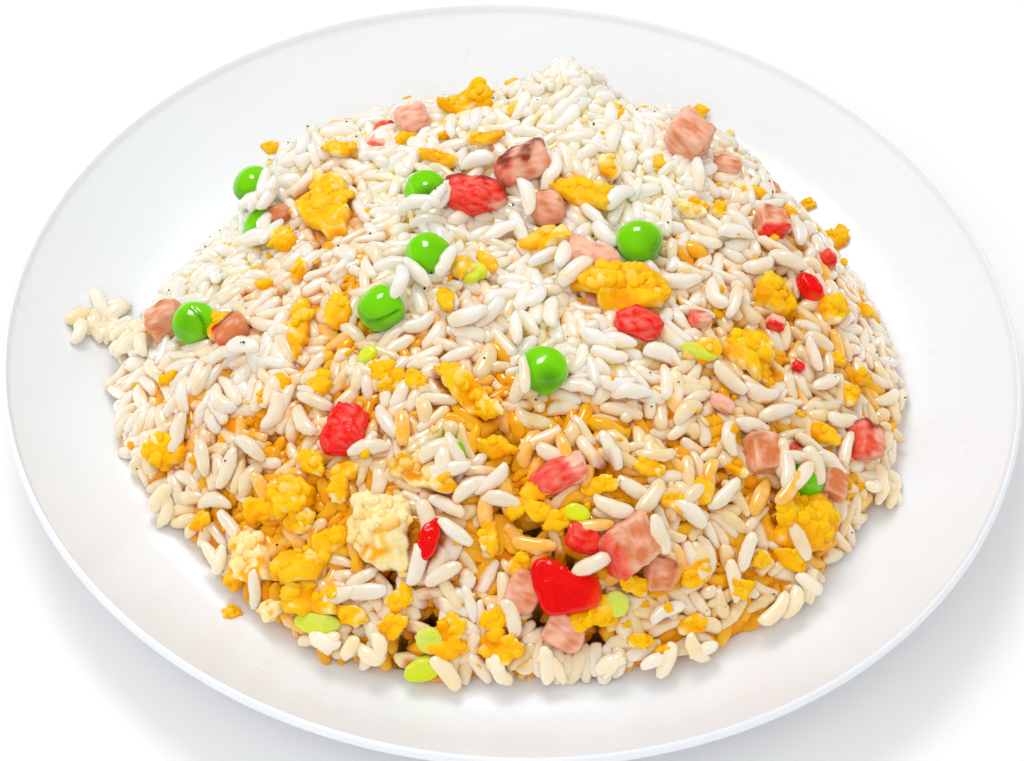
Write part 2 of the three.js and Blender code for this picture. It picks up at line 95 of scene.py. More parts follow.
# The heap's dome: how its height falls off towards a wavy foot, and the soft rises on it
HEAP_RADIUS = 81.2
CROWN_HEIGHT = 36.0
EDGE_HEIGHT = 3.0
SLOPE_POWER = 2.1
CROWN_POWER = 0.8
RISE_FADE = 0.2
NORMAL_SPAN = 4.0
FOOT_WAVES = [(1, 2.6, 75), (2, 0.8, 92), (3, 1.1, -93), (4, 0.8, 38), (5, 1.1, -159), (6, 1.5, 11)]
RISES = [
    (8, 50, 9, 13), (8, 60, 10, 6.5), (38, 52, 9, 15), (-18, 54, 5, 13), (-53, 48, 13, 11),
    (63, 30, 6, 13), (-54, 26, -2, 11), (0, -30, 2, 14), (30, -48, 3, 13), (-35, -40, 1, 12),
    (35, -8, 2, 11), (-30, 5, 2.5, 11), (0, 12, -2, 9),
]

# The sight line of the reference picture, 1024 by 761 pixels
PICTURE_WIDTH = 1024
SENSOR_WIDTH = 36.0
SIGHT_CENTRE = (512.0, 380.5)
SIGHT_SCALE = 3431.0
SIGHT_DISTANCE = 700.0
SIGHT_ELEVATION = math.radians(48.2)
SIGHT_ROLL = math.radians(3.0)
SIGHT_AIM = (0.0, -10.4, 22.0)
SIGHT_TOP = 80.0
SIGHT_STEP = 0.1

# How the grains lie
CLUMP_RISE = 1.1
CLUMP_SPAN = 16.0
GORGE_DEPTH = 3.2
ZONE_SINK = 5.0
GORGE_SPAN = 19.0
GORGE_WIDTH = 0.25
CALM_SPREAD = 6.0
SHELL_DEPTH = 5.4
CORE_DEPTH = 4.2
GAP_RADIUS = 2.2
HEAP_EDGE = 0.985
GRAIN_PACKING = 0.62
GRAIN_FIELD = 92.0
BROKEN_SHARE = 0.08
BROKEN_LENGTH = 0.62
LIE_FLAT = 0.12
TOPPING_PACKING = 0.85
OVER_TOPPING = 2.0
SHOWN_DEPTH = 0.5
SETTLE_ROUNDS = 46
SETTLE_EASE = 0.45
SETTLE_CAP = 0.6
PAIR_MARGIN = 0.5
PAIR_ROUNDS = 3
SHUT_REACH = 3.3
GOLDEN_SHARE = 0.355
WHITE_SHARE = 0.55

# The floor, and the point that the lights face, in metres
FLOOR_SIDE = 6.0
LIGHT_AIM = (0.0, 0.0, 0.02)

# How the toppings are made and lit
SCRAP_SHIFT = 57.0
EGG_FOLD = 1.1
LUMP_AREA = 7.5
LUMP_RADIUS = (0.9, 2.3)
# The way to the sky from which painted light and shade on the peas and egg lumps are read
SKYWARD = np.array([-0.3, 0.35, 0.89])
PEA_CREASE_WIDTH = 0.05

# How finely each kind is made: rings from pole to pole, or steps from the middle to the edge, and sides
GRAIN_GRID = (6, 8)
CORE_GRID = (110, 220)
PEA_GRID = (40, 56)
HAM_GRID = (22, 36)
HAM_BIT_GRID = (12, 20)
PEPPER_GRID = (12, 44)
EGG_GRID = (16, 56)
EGG_BIT_GRID = (8, 26)
LUMP_GRID = (6, 9)
CRUMB_GRID = (4, 7)
ONION_GRID = (9, 36)
SPECK_GRID = (3, 5)

# How many of each are drawn at random, and where the far side lies that gets some of them
FAR_HAM_COUNT = 9
FAR_EGG_COUNT = 34
CRUMB_COUNT = 680
SPECK_COUNT = 170
FAR_SIDE = 34.0
FAR_SIDE_TOP = 42.0

# Where each kind's random draws and ripples start
GRAIN_SEED = 7
RELIEF_SEED = 21
STAIN_SEED = 31
CORE_SEED = 41
MOTTLE_SEED = 44
PEA_SEED = 51
HAM_SEED = 61
HAM_BIT_SEED = 65
FAR_HAM_SEED = 67
PEPPER_SEED = 70
EGG_SEED = 81
EGG_BIT_SEED = 91
FAR_EGG_SEED = 93
CRUMB_SEED = 97
ONION_SEED = 101
GREEN_BIT_SEED = 105
SPECK_SEED = 111

# Toppings: picture point of the middle, size or radius, degrees of turn and lean, height over the heap,
# and a tone that each kind reads in its own way
PEAS = [
    ((254, 187), 4.7, 2), ((264, 230), 4.5, -2.8), ((427, 192), 4.6, -0.4), ((428, 255), 4.7, 0.6),
    ((640, 242), 4.8, 1.6), ((381, 308), 4.7, 1.4), ((194, 323), 4.7, 1.4), ((544, 370), 4.8, 1.8),
    ((803, 477), 4.6, -0.6), ((446, 458), 4.5, -3),
]
# Creases in the skin: number of the pea, angle across the picture, and how far beside its middle
PEA_CREASES = [(5, 24, -0.5), (6, -60, 0.5)]
HAM = [
    ((170, 323), (8, 6, 9), 10, 0, 0.4, (0, 0.1, 0.6, 6)),
    ((233, 332), (7, 6, 6), 30, 10, 0, (0.1, 0.6, 1, 5)),
    ((413, 121), (7, 6, 6), 20, 20, 0.4, (0, 0.3, 0.2, 5)),
    ((474, 195), (12.4, 8, 7), -6, 10, 1.2, (0.78, 0.78, 0.3, 2.6)),
    ((522, 164), (11, 7.5, 7), 32, 30, 1.4, (0.15, 0.75, 0.4, 5)),
    ((548, 208), (7, 7, 7), 0, 0, 0.6, (0, 0.45, 0.45, 2.4)),
    ((590, 259), (11, 7.5, 6), -24, 15, 0.4, (0, 0, 0.1, 3.5)),
    ((688, 137), (8.5, 8, 9), -28, 10, 2.2, (0.12, 0.1, 0.5, 8)),
    ((771, 224), (6.5, 6, 6), 15, 0, 1, (0.9, 0.3, 0.6, 7)),
    ((640, 323), (10, 6.4, 5.5), -5, 10, 1.4, (0.8, 0.1, 0.2, 2.2)),
    ((345, 430), (8.5, 10.5, 5.5), 156, 0, 0.8, (1, 0, 0, 3)),
    ((561, 474), (11.5, 5.8, 5.5), 30, 0, 0.4, (0.55, 0, 0.1, 4.4)),
    ((629, 546), (9.4, 10.2, 8.5), -52, -16, 1.6, (0.4, 0, 0.72, 9)),
    ((583, 539), (6.5, 5, 6), -10, 0, -0.6, (1, 0.2, 0.6, 5)),
    ((762, 454), (7, 8, 6), 15, 0, 0.4, (0, 0.05, 1, 8)),
    ((829, 483), (5.6, 6, 5.5), 0, 0, 0, (0, 0, 1, 7)),
    ((863, 442), (6, 7.5, 7.5), 8, 0, 1.2, (0.36, 0.62, 0.6, 5)),
    ((660, 574), (5.4, 7, 5.5), 0, 0, -0.2, (0, 0.1, 0.8, 6)),
    ((523, 592), (6, 8.5, 5), -20, 0, -0.6, (0, 0, 0.5, 4)),
    ((563, 633), (8, 6.5, 5), -20, 0, 0, (0, 0, 0.3, 4)),
]
RED_PEPPER = [
    ((563, 586), (13.5, 12, 5), -18, -8, 1.6, 0), ((429, 540), (4, 8.6, 4), -14, 0, 0.8, 0),
    ((809, 288), (6.6, 4.2, 4), -40, 0, 0.8, 0),
]
PEPPER_OUTLINE = (
    1.13, 1.04, 0.66, 0.5, 0.64, 0.87, 1.1, 1.04, 0.94, 0.88, 0.95, 1.07, 0.94, 0.92, 1.02, 1.16,
)
EGG = [
    ((625, 288), (19, 11.5, 4.6), -4, 8, 1.6, 0.1), ((326, 206), (11, 20, 4), 22, 0, 0.8, 0.1),
    ((466, 101), (12.5, 5.5, 3.6), 12, 20, 1, 0), ((580, 193), (16, 6, 3.6), -20, 0, 0.8, 0),
    ((550, 241), (9, 6, 4.4), 14, 0, 0.2, 0.35), ((774, 296), (9.4, 7.4, 4.2), 0, 0, 0.6, 0),
    ((831, 310), (5.6, 7, 4), 0, 0, 0.6, 0), ((751, 357), (13.5, 7.6, 4), -25, 0, 0.6, 0.1),
    ((806, 522), (16, 12, 4.4), -6, 0, 1, 0), ((381, 530), (14, 14, 6), 20, 0, 0.6, 0.75),
    ((424, 474), (13, 6.5, 4), -24, 0, 0.6, 0.5), ((468, 392), (17, 5.5, 3.6), -42, 0, 0.2, 0.1),
    ((251, 558), (7.2, 12, 5), 12, 0, 0.4, 0.7), ((603, 614), (7, 5.5, 4), 30, 0, 0.6, 0),
    ((300, 326), (4, 13, 3.4), -6, 0, 0.2, 0.1), ((500, 648), (8.4, 6, 4), 10, 0, 0.4, 0.1),
    ((167, 453), (8, 6.5, 4), 8, 0, 0.4, 0), ((288, 499), (10, 8.5, 4.4), -10, 0, 0.4, 0),
]
EGG_OUTLINE = (
    0.95, 1.0, 1.08, 1.1, 0.98, 0.78, 0.7, 0.84, 1.2, 0.8, 0.82, 0.95, 1.0, 1.02, 1.08, 0.96,
)
SPRING_ONION = [
    ((423, 669), (7.6, 4.6, 2.6), 22, 0, 0, 0.2), ((616, 604), (5.2, 5.2, 2.6), 20, 0, 1, 0.8),
    ((577, 513), (5.2, 3.6, 2.6), -16, 0, 0.8, 0.1), ((317, 623), (10, 4.2, 2.6), -8, 0, 0.6, 0.5),
]

# The tables whose toppings are the frame's nodes
NODE_TABLES = (PEAS, HAM, RED_PEPPER, EGG, SPRING_ONION)

# Scraps too small for the frame's nodes, in the same order of values
SMALL_EGG = [
    ((438, 157), (10, 3, 2.4), -28, 0, 0.6, 0.1), ((485, 138), (7, 3.6, 2.4), 10, 0, 0.8, 0.3),
    ((340, 150), (7, 3.4, 2.4), 0, 0, 0.4, 0.1), ((271, 148), (4, 3, 2.2), 0, 0, 0.4, 0),
    ((702, 352), (7, 5, 2.6), 10, 0, 0.4, 0.2), ((837, 238), (5, 6, 3.2), 20, 0, 0.6, 0),
    ((280, 384), (5, 4, 2.8), 30, 0, -0.4, 0), ((321, 386), (5, 5, 2.8), -20, 0, -0.4, 0),
    ((535, 492), (6, 4, 3), 14, 0, -0.4, 0), ((579, 621), (6, 4, 2.8), 20, 0, 0.2, 0.1),
    ((634, 585), (6, 4, 2.8), -10, 0, 0.2, 0), ((300, 566), (12, 7, 3.6), 16, 0, 0.6, 0.1),
    ((312, 598), (13, 7, 3.4), -10, 0, 0.5, 0.1), ((271, 610), (6, 4, 3), 10, 0, 0.4, 0.8),
    ((448, 630), (8, 5, 3), 30, 0, -0.2, 0.1), ((697, 574), (7, 4.6, 2.8), 40, 0, 0.2, 0.1),
    ((693, 625), (6, 4, 2.6), 20, 0, 0.2, 0.2), ((650, 468), (6.6, 3.6, 2.6), -14, 0, 0.4, 0.2),
    ((737, 466), (6, 3.6, 2.6), -40, 0, 0.4, 0.3), ((825, 435), (7, 4, 2.6), -10, 0, 0.2, 0.1),
    ((217, 325), (4.4, 7, 2.8), 10, 0, 0.8, 0.1), ((697, 115), (4, 3.4, 2.6), 0, 0, 0.8, 0),
    ((697, 205), (4.6, 3, 2.2), 20, 0, 0.4, 0.1), ((719, 211), (3.6, 3, 2.2), 0, 0, 0.4, 0.1),
    ((791, 211), (4, 3, 2.2), 10, 0, 0.6, 0), ((807, 205), (3.4, 2.8, 2.2), 0, 0, 0.6, 0),
    ((199, 521), (5, 3.4, 2.6), 20, 0, 0.2, 0.1), ((258, 510), (6, 5, 3), -20, 0, 0, 0),
    ((836, 359), (3.4, 3, 2.2), 0, 0, 0.4, 0.1), ((861, 378), (4, 3, 2.4), 0, 0, 0.4, 0.1),
    ((865, 310), (3.6, 2.8, 2.2), 0, 0, 0.4, 0.1), ((392, 381), (6, 4, 2.8), 40, 0, -0.2, 0.1),
    ((416, 381), (5, 4, 2.8), -30, 0, -0.2, 0), ((344, 472), (5.4, 4, 2.6), 20, 0, 0, 0.1),
    ((446, 301), (3.6, 6, 2.4), 10, 0, 0.2, 0), ((463, 269), (4, 7, 2.6), -10, 0, 0.4, 0.1),
    ((609, 168), (5, 6, 3), 10, 0, 0, 0.4), ((497, 447), (6, 4, 3), -8, 0, -1, 0),
    ((690, 210), (7, 3.4, 2.4), 6, 0, 0.8, 0.7), ((487, 262), (6, 4, 2.6), -60, 0, 0.4, 0.1),
    ((520, 565), (5, 4, 2.6), 60, 0, 0, 0), ((340, 490), (6, 4, 2.8), 70, 0, -0.4, 0),
    ((232, 612), (4, 3, 2.2), 10, 0, 0.4, 0.1), ((600, 486), (8, 3.4, 2.4), 12, 0, 0.6, 0.1),
    ((760, 560), (4, 3, 2.4), 10, 0, 0.2, 0.1), ((640, 640), (5, 3, 2.4), -10, 0, 0.2, 0.1),
    ((400, 600), (6, 4, 2.8), 30, 0, -0.6, 0), ((300, 270), (5, 3.4, 2.4), 50, 0, 0.4, 0.2),
    ((284, 240), (5, 8.4, 3.2), 14, 0, 0.6, 0.1), ((338, 312), (5, 8, 3), -8, 0, 0.3, 0),
    ((264, 284), (4, 2.4, 2.2), 0, 0, 0.2, 0), ((156, 330), (3.4, 2.4, 2.2), 0, 0, 0.4, 0.1),
    ((167, 377), (4.6, 2.6, 2.4), 10, 0, 0.2, 0.1), ((381, 372), (6, 3.6, 2.8), 10, 0, 0.2, 0),
    ((330, 540), (8, 5, 3), 30, 0, 0.2, 0), ((312, 463), (8, 4, 3), -40, 0, 0.3, 0),
    ((300, 520), (7, 5, 3), 10, 0, 0.2, 0.1), ((352, 615), (7, 4, 2.8), -20, 0, 0.2, 0.1),
    ((393, 626), (7, 4, 2.8), 16, 0, 0.3, 0), ((448, 648), (8, 4, 2.8), 10, 0, 0.2, 0.1),
    ((540, 512), (7, 4.4, 3), -30, 0, 0.4, 0.1), ((560, 520), (7, 4, 3), 24, 0, 0.4, 0),
    ((518, 508), (5, 4, 3), 60, 0, 0.2, 0), ((489, 538), (3.6, 7, 3), 8, 0, 0.4, 0.1),
    ((672, 500), (7, 3.6, 2.6), -20, 0, 0.4, 0.2), ((700, 492), (4.4, 6, 2.8), 10, 0, 0.2, 0.1),
    ((496, 620), (4, 6, 2.8), -20, 0, 0.2, 0), ((664, 653), (5, 3.4, 2.4), 20, 0, 0.2, 0),
    ((740, 590), (5, 3.6, 2.6), 30, 0, 0.2, 0.1), ((235, 580), (5, 3.4, 2.6), 40, 0, 0.2, 0.2),
    ((850, 395), (4, 5, 2.6), 0, 0, 0.3, 0), ((790, 560), (6, 4, 2.8), -20, 0, 0.3, 0.1),
]
SMALL_HAM = [
    ((280, 216), (4.4, 4, 3.4), 10, 0, 0, (0, 0.4, 0.9, 4)),
    ((729, 165), (5, 4, 4), 10, 0, 0.2, (0, 0, 0.3, 4)),
    ((828, 258), (4, 3.6, 3.4), 0, 0, 0.2, (0.7, 0.4, 0.8, 4)),
    ((700, 319), (4.4, 3.6, 3.4), 20, 0, 0.2, (0.3, 0.2, 0.4, 4)),
    ((796, 453), (3.6, 4, 3.4), 0, 0, -0.2, (0.3, 0.8, 0.9, 4)),
    ((775, 322), (3.6, 3, 3), 0, 0, 0, (0.9, 0, 0.3, 7)),
    ((798, 366), (3, 2.4, 2.4), 0, 0, 0, (1, 0.6, 0, 4)),
    ((722, 405), (5.4, 3, 2.6), -20, 0, 0.2, (0, 0, 0.1, 3)),
]
SMALL_GREEN = [
    ((368, 356), (4.4, 3.2, 2.4), 40, 0, -0.2, 0.1), ((479, 271), (3.6, 3.4, 2.4), 0, 0, 0, 0.3),
    ((429, 640), (5, 5.4, 2.6), 30, 0, 0.2, 0.6), ((700, 352), (8, 3.4, 2.2), 0, 0, 0.8, 0.4),
    ((470, 276), (4, 4, 2.4), 20, 0, -0.2, 0.3), ((745, 345), (5, 2.6, 2), -20, 0, 1, 0.3),
]

# Single grains that show well, some of them over a topping: picture point, turn in degrees, and lift
SHOWN_GRAINS = [
    (446, 260, 70, 5), (419, 203, 0, 4.5), (434, 197, 60, 4.5), (443, 194, 75, 3), (526, 197, 104, 4),
    (519, 228, 115, 1.2), (501, 230, 30, 1), (417, 272, 130, 2.4), (399, 281, 80, 5), (464, 287, -20, 1),
    (490, 313, 50, 1.2), (516, 328, 95, 1.6), (528, 323, 120, 1.2), (468, 315, 15, 1),
    (458, 356, 20, 1.2), (524, 375, 97, 5.6), (577, 386, -15, 1), (556, 330, 100, 1.2), (552, 313, 90, 1),
    (598, 339, -20, 1), (618, 341, 0, 1.6), (609, 355, -5, 1), (664, 356, -15, 1), (617, 382, 10, 1),
    (631, 392, 5, 0.8), (563, 254, 80, 3), (546, 257, 40, 1.6), (575, 271, 45, 3.4), (594, 215, 130, 1),
    (605, 234, 130, 1.2), (619, 197, 50, 1), (681, 280, 10, 1.2), (553, 167, 85, 1.4), (477, 161, 10, 1),
    (472, 489, 30, 1.2), (492, 480, 45, 1.4), (506, 495, 100, 1.2), (486, 510, 90, 1.2),
    (502, 501, -10, 1.6), (455, 532, -35, 2), (447, 506, -25, 1), (425, 520, 95, 1), (592, 526, 10, 1.6),
    (613, 506, -20, 1.4), (610, 473, 125, 1.2), (635, 489, -25, 1.4), (651, 497, 60, 1.4),
    (660, 534, 120, 5), (534, 545, -5, 0.8), (567, 553, -8, 1.2), (591, 565, 30, 4.6),
    (565, 452, 110, 1.2), (542, 439, 25, 1), (553, 456, -30, 1.2), (529, 448, 70, 0.8),
    (590, 452, 130, 1), (611, 450, 120, 0.8), (416, 565, 80, 1.2), (443, 574, 30, 1),
    (511, 618, 110, 1.2), (523, 610, 40, 2.4), (666, 612, 35, 1.2), (177, 433, 75, 1.2),
    (248, 447, -40, 1.4), (273, 411, 60, 1.2), (288, 417, 50, 1.4), (304, 421, 120, 1.2),
    (202, 457, 100, 1), (227, 468, 60, 1.2), (368, 448, 5, 1.6), (403, 428, 95, 1.2), (387, 422, 120, 1),
    (262, 490, 110, 1.4), (294, 508, -30, 3.4), (317, 514, -45, 1.2), (230, 526, 120, 1),
    (214, 503, -10, 1), (254, 589, 70, 1), (338, 597, 20, 1), (367, 591, 5, 1), (362, 578, 30, 1.4),
    (838, 349, 110, 1), (814, 354, 120, 1.2), (826, 382, 40, 1.2), (730, 378, -30, 1.2),
    (762, 392, 10, 1), (843, 419, 15, 1), (752, 426, 8, 1.2), (778, 413, 30, 1.2), (731, 437, 95, 1),
    (783, 459, 105, 3), (812, 447, -15, 1.4), (846, 450, 85, 2), (803, 475, 60, 5.6), (831, 464, -20, 2),
    (786, 468, 97, 4.4), (815, 465, 130, 4.8), (799, 457, 12, 3.8), (789, 489, 65, 4.8),
    (264, 184, 80, 5.6), (261, 196, 20, 5), (252, 202, -20, 4.2), (268, 194, 60, 5.4),
    (262, 238, 10, 2.2), (271, 232, 60, 2.4), (256, 236, -30, 2.2), (266, 226, 100, 2.4),
    (243, 346, -20, 4), (226, 353, 10, 3), (710, 480, 92, 1.2), (724, 495, 55, 1.2), (760, 497, 75, 1.2),
    (800, 541, 130, 3.6), (747, 552, 85, 1), (690, 512, -30, 1.2), (734, 581, 110, 1),
    (774, 246, -20, 1.4), (788, 260, -15, 1.8), (760, 264, 40, 1.2), (438, 449, 30, 3),
    (456, 451, 120, 3), (450, 468, 10, 3), (440, 464, 80, 3), (548, 178, 80, 1), (736, 233, 12, 1.2),
    (716, 293, 110, 1.2), (734, 301, 80, 1), (698, 174, 100, 1), (798, 231, 100, 1.4),
]

# Patches under the grains that egg and oil have stained yellow: picture point, spread and strength
YOLK_ZONES = [
    ((502, 440), 9, 1), ((540, 500), 9, 0.9), ((285, 485), 12, 1), ((300, 590), 13, 1),
    ((425, 612), 7, 0.6), ((470, 395), 7, 0.8), ((560, 560), 8, 0.8), ((600, 470), 8, 0.5),
    ((690, 590), 8, 0.6), ((800, 530), 9, 0.7), ((745, 355), 8, 0.5), ((325, 300), 6, 0.6),
    ((325, 210), 7, 0.6), ((640, 510), 10, 0.5), ((700, 480), 9, 0.5), ((170, 450), 6, 0.5),
    ((790, 300), 7, 0.5), ((480, 640), 7, 0.5), ((380, 340), 6, 0.6), ((560, 190), 5, 0.5),
    ((470, 585), 7, -0.5), ((372, 600), 6, -0.45), ((480, 330), 8, -0.3), ((250, 430), 8, -0.2),
    ((700, 520), 6, -0.3), ((600, 350), 7, -0.3),
]

# Gaps deep enough to look dark, as picture points. The core and the grain seams round them get painted
# shade, nearly black in the core
DARK_GAPS = [
    (389, 573), (540, 613), (573, 563), (596, 631), (300, 523), (604, 477), (405, 640), (500, 437),
    (536, 523), (640, 577), (430, 612),
]

# Grains that lie apart on the plate: picture point of each patch, its spread in pixels and the count
PLATE_GRAINS = [
    ((100, 318), (22, 16), 16), ((128, 338), (16, 12), 9), ((886, 492), (12, 12), 9),
    ((381, 651), (14, 5), 2), ((496, 669), (14, 5), 2), ((321, 640), (12, 6), 3),
    ((805, 585), (10, 8), 3), ((784, 605), (10, 8), 2), ((160, 505), (10, 8), 3), ((215, 560), (8, 8), 2),
    ((562, 667), (16, 3), 2), ((702, 650), (14, 4), 2), ((610, 664), (18, 3), 2),
    ((655, 659), (12, 3), 2), ((455, 670), (12, 3), 1), ((350, 648), (10, 4), 1),
]


def foot_radius(angle):
    """The heap's plan radius at an angle: a circle, plus cosines of a whole number of waves round it."""
    radius = np.full(np.shape(angle), HEAP_RADIUS)
    for count, swell, phase in FOOT_WAVES:
        radius = radius + swell * np.cos(count * angle - math.radians(phase))
    return radius


def foot_share(x, y):
    """How far out a plan point lies: 0 at the middle of the heap and 1 at its foot."""
    return np.hypot(x, y) / foot_radius(np.arctan2(y, x))


def smooth_step(value, low, high):
    """0 below low, 1 above high, and three t squared less two t cubed between them."""
    t = np.clip((value - low) / (high - low), 0, 1)
    return t * t * (3 - 2 * t)


def heap_height(x, y):
    """The heap's height: a dome, one less the share to a power, to a power, plus soft bell-shaped
    rises."""
    share = np.minimum(1, foot_share(x, y))
    dome = (1 - share**SLOPE_POWER) ** CROWN_POWER
    height = FLOOR_HEIGHT + EDGE_HEIGHT + (CROWN_HEIGHT - EDGE_HEIGHT) * dome
    fade = smooth_step(1 - share, 0, RISE_FADE)
    for across, back, rise, spread in RISES:
        away = ((x - across) ** 2 + (y - back) ** 2) / spread**2
        height = height + fade * rise * np.exp(-away / 2)
    return height


def plate_top(radius):
    """The plate's upper face at a radius: flat, then rising as the share of the wall to a power."""
    share = np.maximum(0, (radius - FLOOR_RADIUS) / (PLATE_RADIUS - FLOOR_RADIUS))
    return FLOOR_HEIGHT + (PLATE_HEIGHT - FLOOR_HEIGHT) * share**WALL_CURVE


def surface_height(x, y):
    """Height of what lies uppermost: the heap inside its foot, the plate outside it."""
    return np.where(foot_share(x, y) < 1, heap_height(x, y), plate_top(np.hypot(x, y)))


def surface_normal(points):
    """Upward unit normals at points, from the slopes of the surface over a span of a few grains."""
    x, y = points[:, 0], points[:, 1]
    half = NORMAL_SPAN / 2
    slope_x = (surface_height(x + half, y) - surface_height(x - half, y)) / NORMAL_SPAN
    slope_y = (surface_height(x, y + half) - surface_height(x, y - half)) / NORMAL_SPAN
    return unit(np.stack([-slope_x, -slope_y, np.ones_like(slope_x)], -1))


def unit(vectors):
    """Vectors divided by their lengths."""
    return vectors / np.maximum(np.linalg.norm(vectors, axis=-1, keepdims=True), 1e-9)


def less_along(vectors, ways, share=1):
    """Vectors less a share of their part along unit vectors."""
    return vectors - share * (vectors * ways).sum(-1, keepdims=True) * ways


def bell(plan, place, spread):
    """1 at a place, falling off round it as the exponential of minus half its distance over a spread,
    squared."""
    return np.exp(-((plan - place) ** 2).sum(-1) / (2 * spread**2))


def round_angles(sides):
    """Even angles round a circle."""
    return 2 * np.pi * np.arange(sides) / sides


def ripples(points, span, seed, count=14):
    """Smooth unevenness of about unit size: sines of one wavelength along random directions, summed."""
    rng = np.random.default_rng(seed)
    turns = rng.normal(size=(points.shape[-1], count))
    turns *= 2 * np.pi / span / np.linalg.norm(turns, axis=0)
    phases = rng.uniform(0, 2 * np.pi, count)
    return np.sin(points @ turns + phases).sum(-1) / math.sqrt(count / 2)


def sight_axes():
    """The sight line's own axes as unit vectors: ahead, right and up, before its roll."""
    ahead = np.array([0, math.cos(SIGHT_ELEVATION), -math.sin(SIGHT_ELEVATION)])
    right = np.array([1.0, 0, 0])
    return ahead, right, np.cross(right, ahead)


def sighted(picture_points, lifts, height_at=surface_height):
    """Where the sight lines through picture points first meet a surface raised by each lift."""
    pixels = np.asarray(picture_points, float)
    ahead, right, up = sight_axes()
    dx, dy = ((pixels - SIGHT_CENTRE) / SIGHT_SCALE).T
    across = math.cos(SIGHT_ROLL) * dx + math.sin(SIGHT_ROLL) * dy
    down = math.cos(SIGHT_ROLL) * dy - math.sin(SIGHT_ROLL) * dx
    lines = unit(ahead + across[:, None] * right - down[:, None] * up)
    eye = np.array(SIGHT_AIM) - SIGHT_DISTANCE * ahead
    points = eye + lines * ((eye[2] - SIGHT_TOP) / -lines[:, 2:])
    open_way = np.ones(len(points), bool)
    while open_way.any():
        points[open_way] += SIGHT_STEP * lines[open_way]
        open_way = points[:, 2] > height_at(points[:, 0], points[:, 1]) + lifts
    return points


def turn_about(axis, degrees):
    """Turns about an axis, numbered 0 to 2, as matrices."""
    angle = np.radians(degrees)
    first, second = (axis + 1) % 3, (axis + 2) % 3
    turn = np.zeros((len(angle), 3, 3))
    turn[:, axis, axis] = 1
    turn[:, first, first] = turn[:, second, second] = np.cos(angle)
    turn[:, second, first] = np.sin(angle)
    turn[:, first, second] = -np.sin(angle)
    return turn


def turned_axes(points, turns, leans):
    """Each piece's own x, y and z axes as the columns of a matrix: +Z laid along the heap's normal by the
    shortest turn, then a turn about it and a lean about the piece's own length."""
    normal = surface_normal(points)
    tilt = np.zeros((len(points), 3, 3))
    tilt[:, :2, 2] = normal[:, :2]
    tilt[:, 2, :2] = -normal[:, :2]
    flat = np.eye(3) + tilt + tilt @ tilt / (1 + normal[:, 2])[:, None, None]
    return flat @ turn_about(2, turns) @ turn_about(0, leans)


def topping_rows(rows):
    """A table's rows as arrays: middles, axes, sizes, tones. Rows of three are balls with a radius."""
    full = [row if len(row) > 3 else (row[0], (2 * row[1],) * 3, 0, 0, row[2], 0) for row in rows]
    picture, sizes, turns, leans, lifts, tones = (np.array(column, float) for column in zip(*full))
    middles = sighted(picture, lifts)
    return middles, turned_axes(middles, turns, leans), sizes, tones


def in_place(local, middles, axes):
    """Local points (pieces, vertices, xyz) turned by each piece's axes and moved to its middle."""
    return np.einsum("pij,pvj->pvi", axes, local) + middles[:, None, :]


def ring_shell(rings, sides):
    """Faces of a closed shell of rings between two poles: quads between rings, triangles at the poles.
    Vertices run ring by ring, then the first pole and the last. Returns quads and triangles."""
    ring = np.arange(rings - 1)[:, None] * sides
    side = np.arange(sides)[None, :]
    following = (side + 1) % sides
    corners = [ring + side, ring + sides + side, ring + sides + following, ring + following]
    quads = np.stack(corners, -1).reshape(-1, 4)
    first, last = rings * sides, rings * sides + 1
    end = (rings - 1) * sides
    near = np.stack([np.full(sides, first), side[0], following[0]], -1)
    far = np.stack([np.full(sides, last), end + following[0], end + side[0]], -1)
    return quads, np.concatenate([near, far])


def joined(shapes):
    """Joins shell arrays, each (points, tints, sides), into vertices, tints, quads and triangles. The
    fourth value of a tint says how wet it is, and is 1 where it isn't given."""
    vertices, tints, quads, triangles = [], [], [], []
    start = 0
    for points, tint, sides in shapes:
        pieces, count = points.shape[:2]
        shell_quads, shell_triangles = ring_shell((count - 2) // sides, sides)
        offsets = start + count * np.arange(pieces)[:, None, None]
        vertices.append(points.reshape(-1, 3))
        tint = np.broadcast_to(tint, (pieces, count, np.shape(tint)[-1])).reshape(pieces * count, -1)
        wet = tint[:, 3:] if tint.shape[1] > 3 else np.ones((len(tint), 1))
        tints.append(np.concatenate([tint[:, :3], wet], 1))
        quads.append((shell_quads + offsets).reshape(-1, 4))
        triangles.append((shell_triangles + offsets).reshape(-1, 3))
        start += pieces * count
    return tuple(np.concatenate(part) for part in (vertices, tints, quads, triangles))


def linked(name, data):
    """A new object of the scene, at the origin."""
    thing = bpy.data.objects.new(name, data)
    bpy.context.scene.collection.objects.link(thing)
    return thing


def make_piece(name, shapes, material, nodes=()):
    """One mesh object at the origin from shell arrays in millimetres, with its tint as a colour
    attribute."""
    vertices, tints, quads, triangles = joined(shapes)
    mesh = bpy.data.meshes.new(name)
    mesh.vertices.add(len(vertices))
    mesh.vertices.foreach_set("co", (vertices * MM).astype(np.float32).ravel())
    loops = np.concatenate([quads.ravel(), triangles.ravel()]).astype(np.int32)
    corners = np.repeat([4, 3], [len(quads), len(triangles)])
    mesh.loops.add(len(loops))
    mesh.loops.foreach_set("vertex_index", loops)
    mesh.polygons.add(len(corners))
    mesh.polygons.foreach_set("loop_start", (np.cumsum(corners) - corners).astype(np.int32))
    mesh.update(calc_edges=True)
    mesh.polygons.foreach_set("use_smooth", np.ones(len(corners), bool))
    tint = mesh.color_attributes.new("tint", "FLOAT_COLOR", "POINT")
    tint.data.foreach_set("color", tints.astype(np.float32).ravel())
    mesh.materials.append(material)
    mesh.update()
    piece = linked(name, mesh)
    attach(piece, ROOT)
    if nodes:
        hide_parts(*nodes)


def numbered(kind, rows):
    """The frame's node names of a table of toppings."""
    return [f"{kind}_{number + 1}" for number in range(len(rows))]


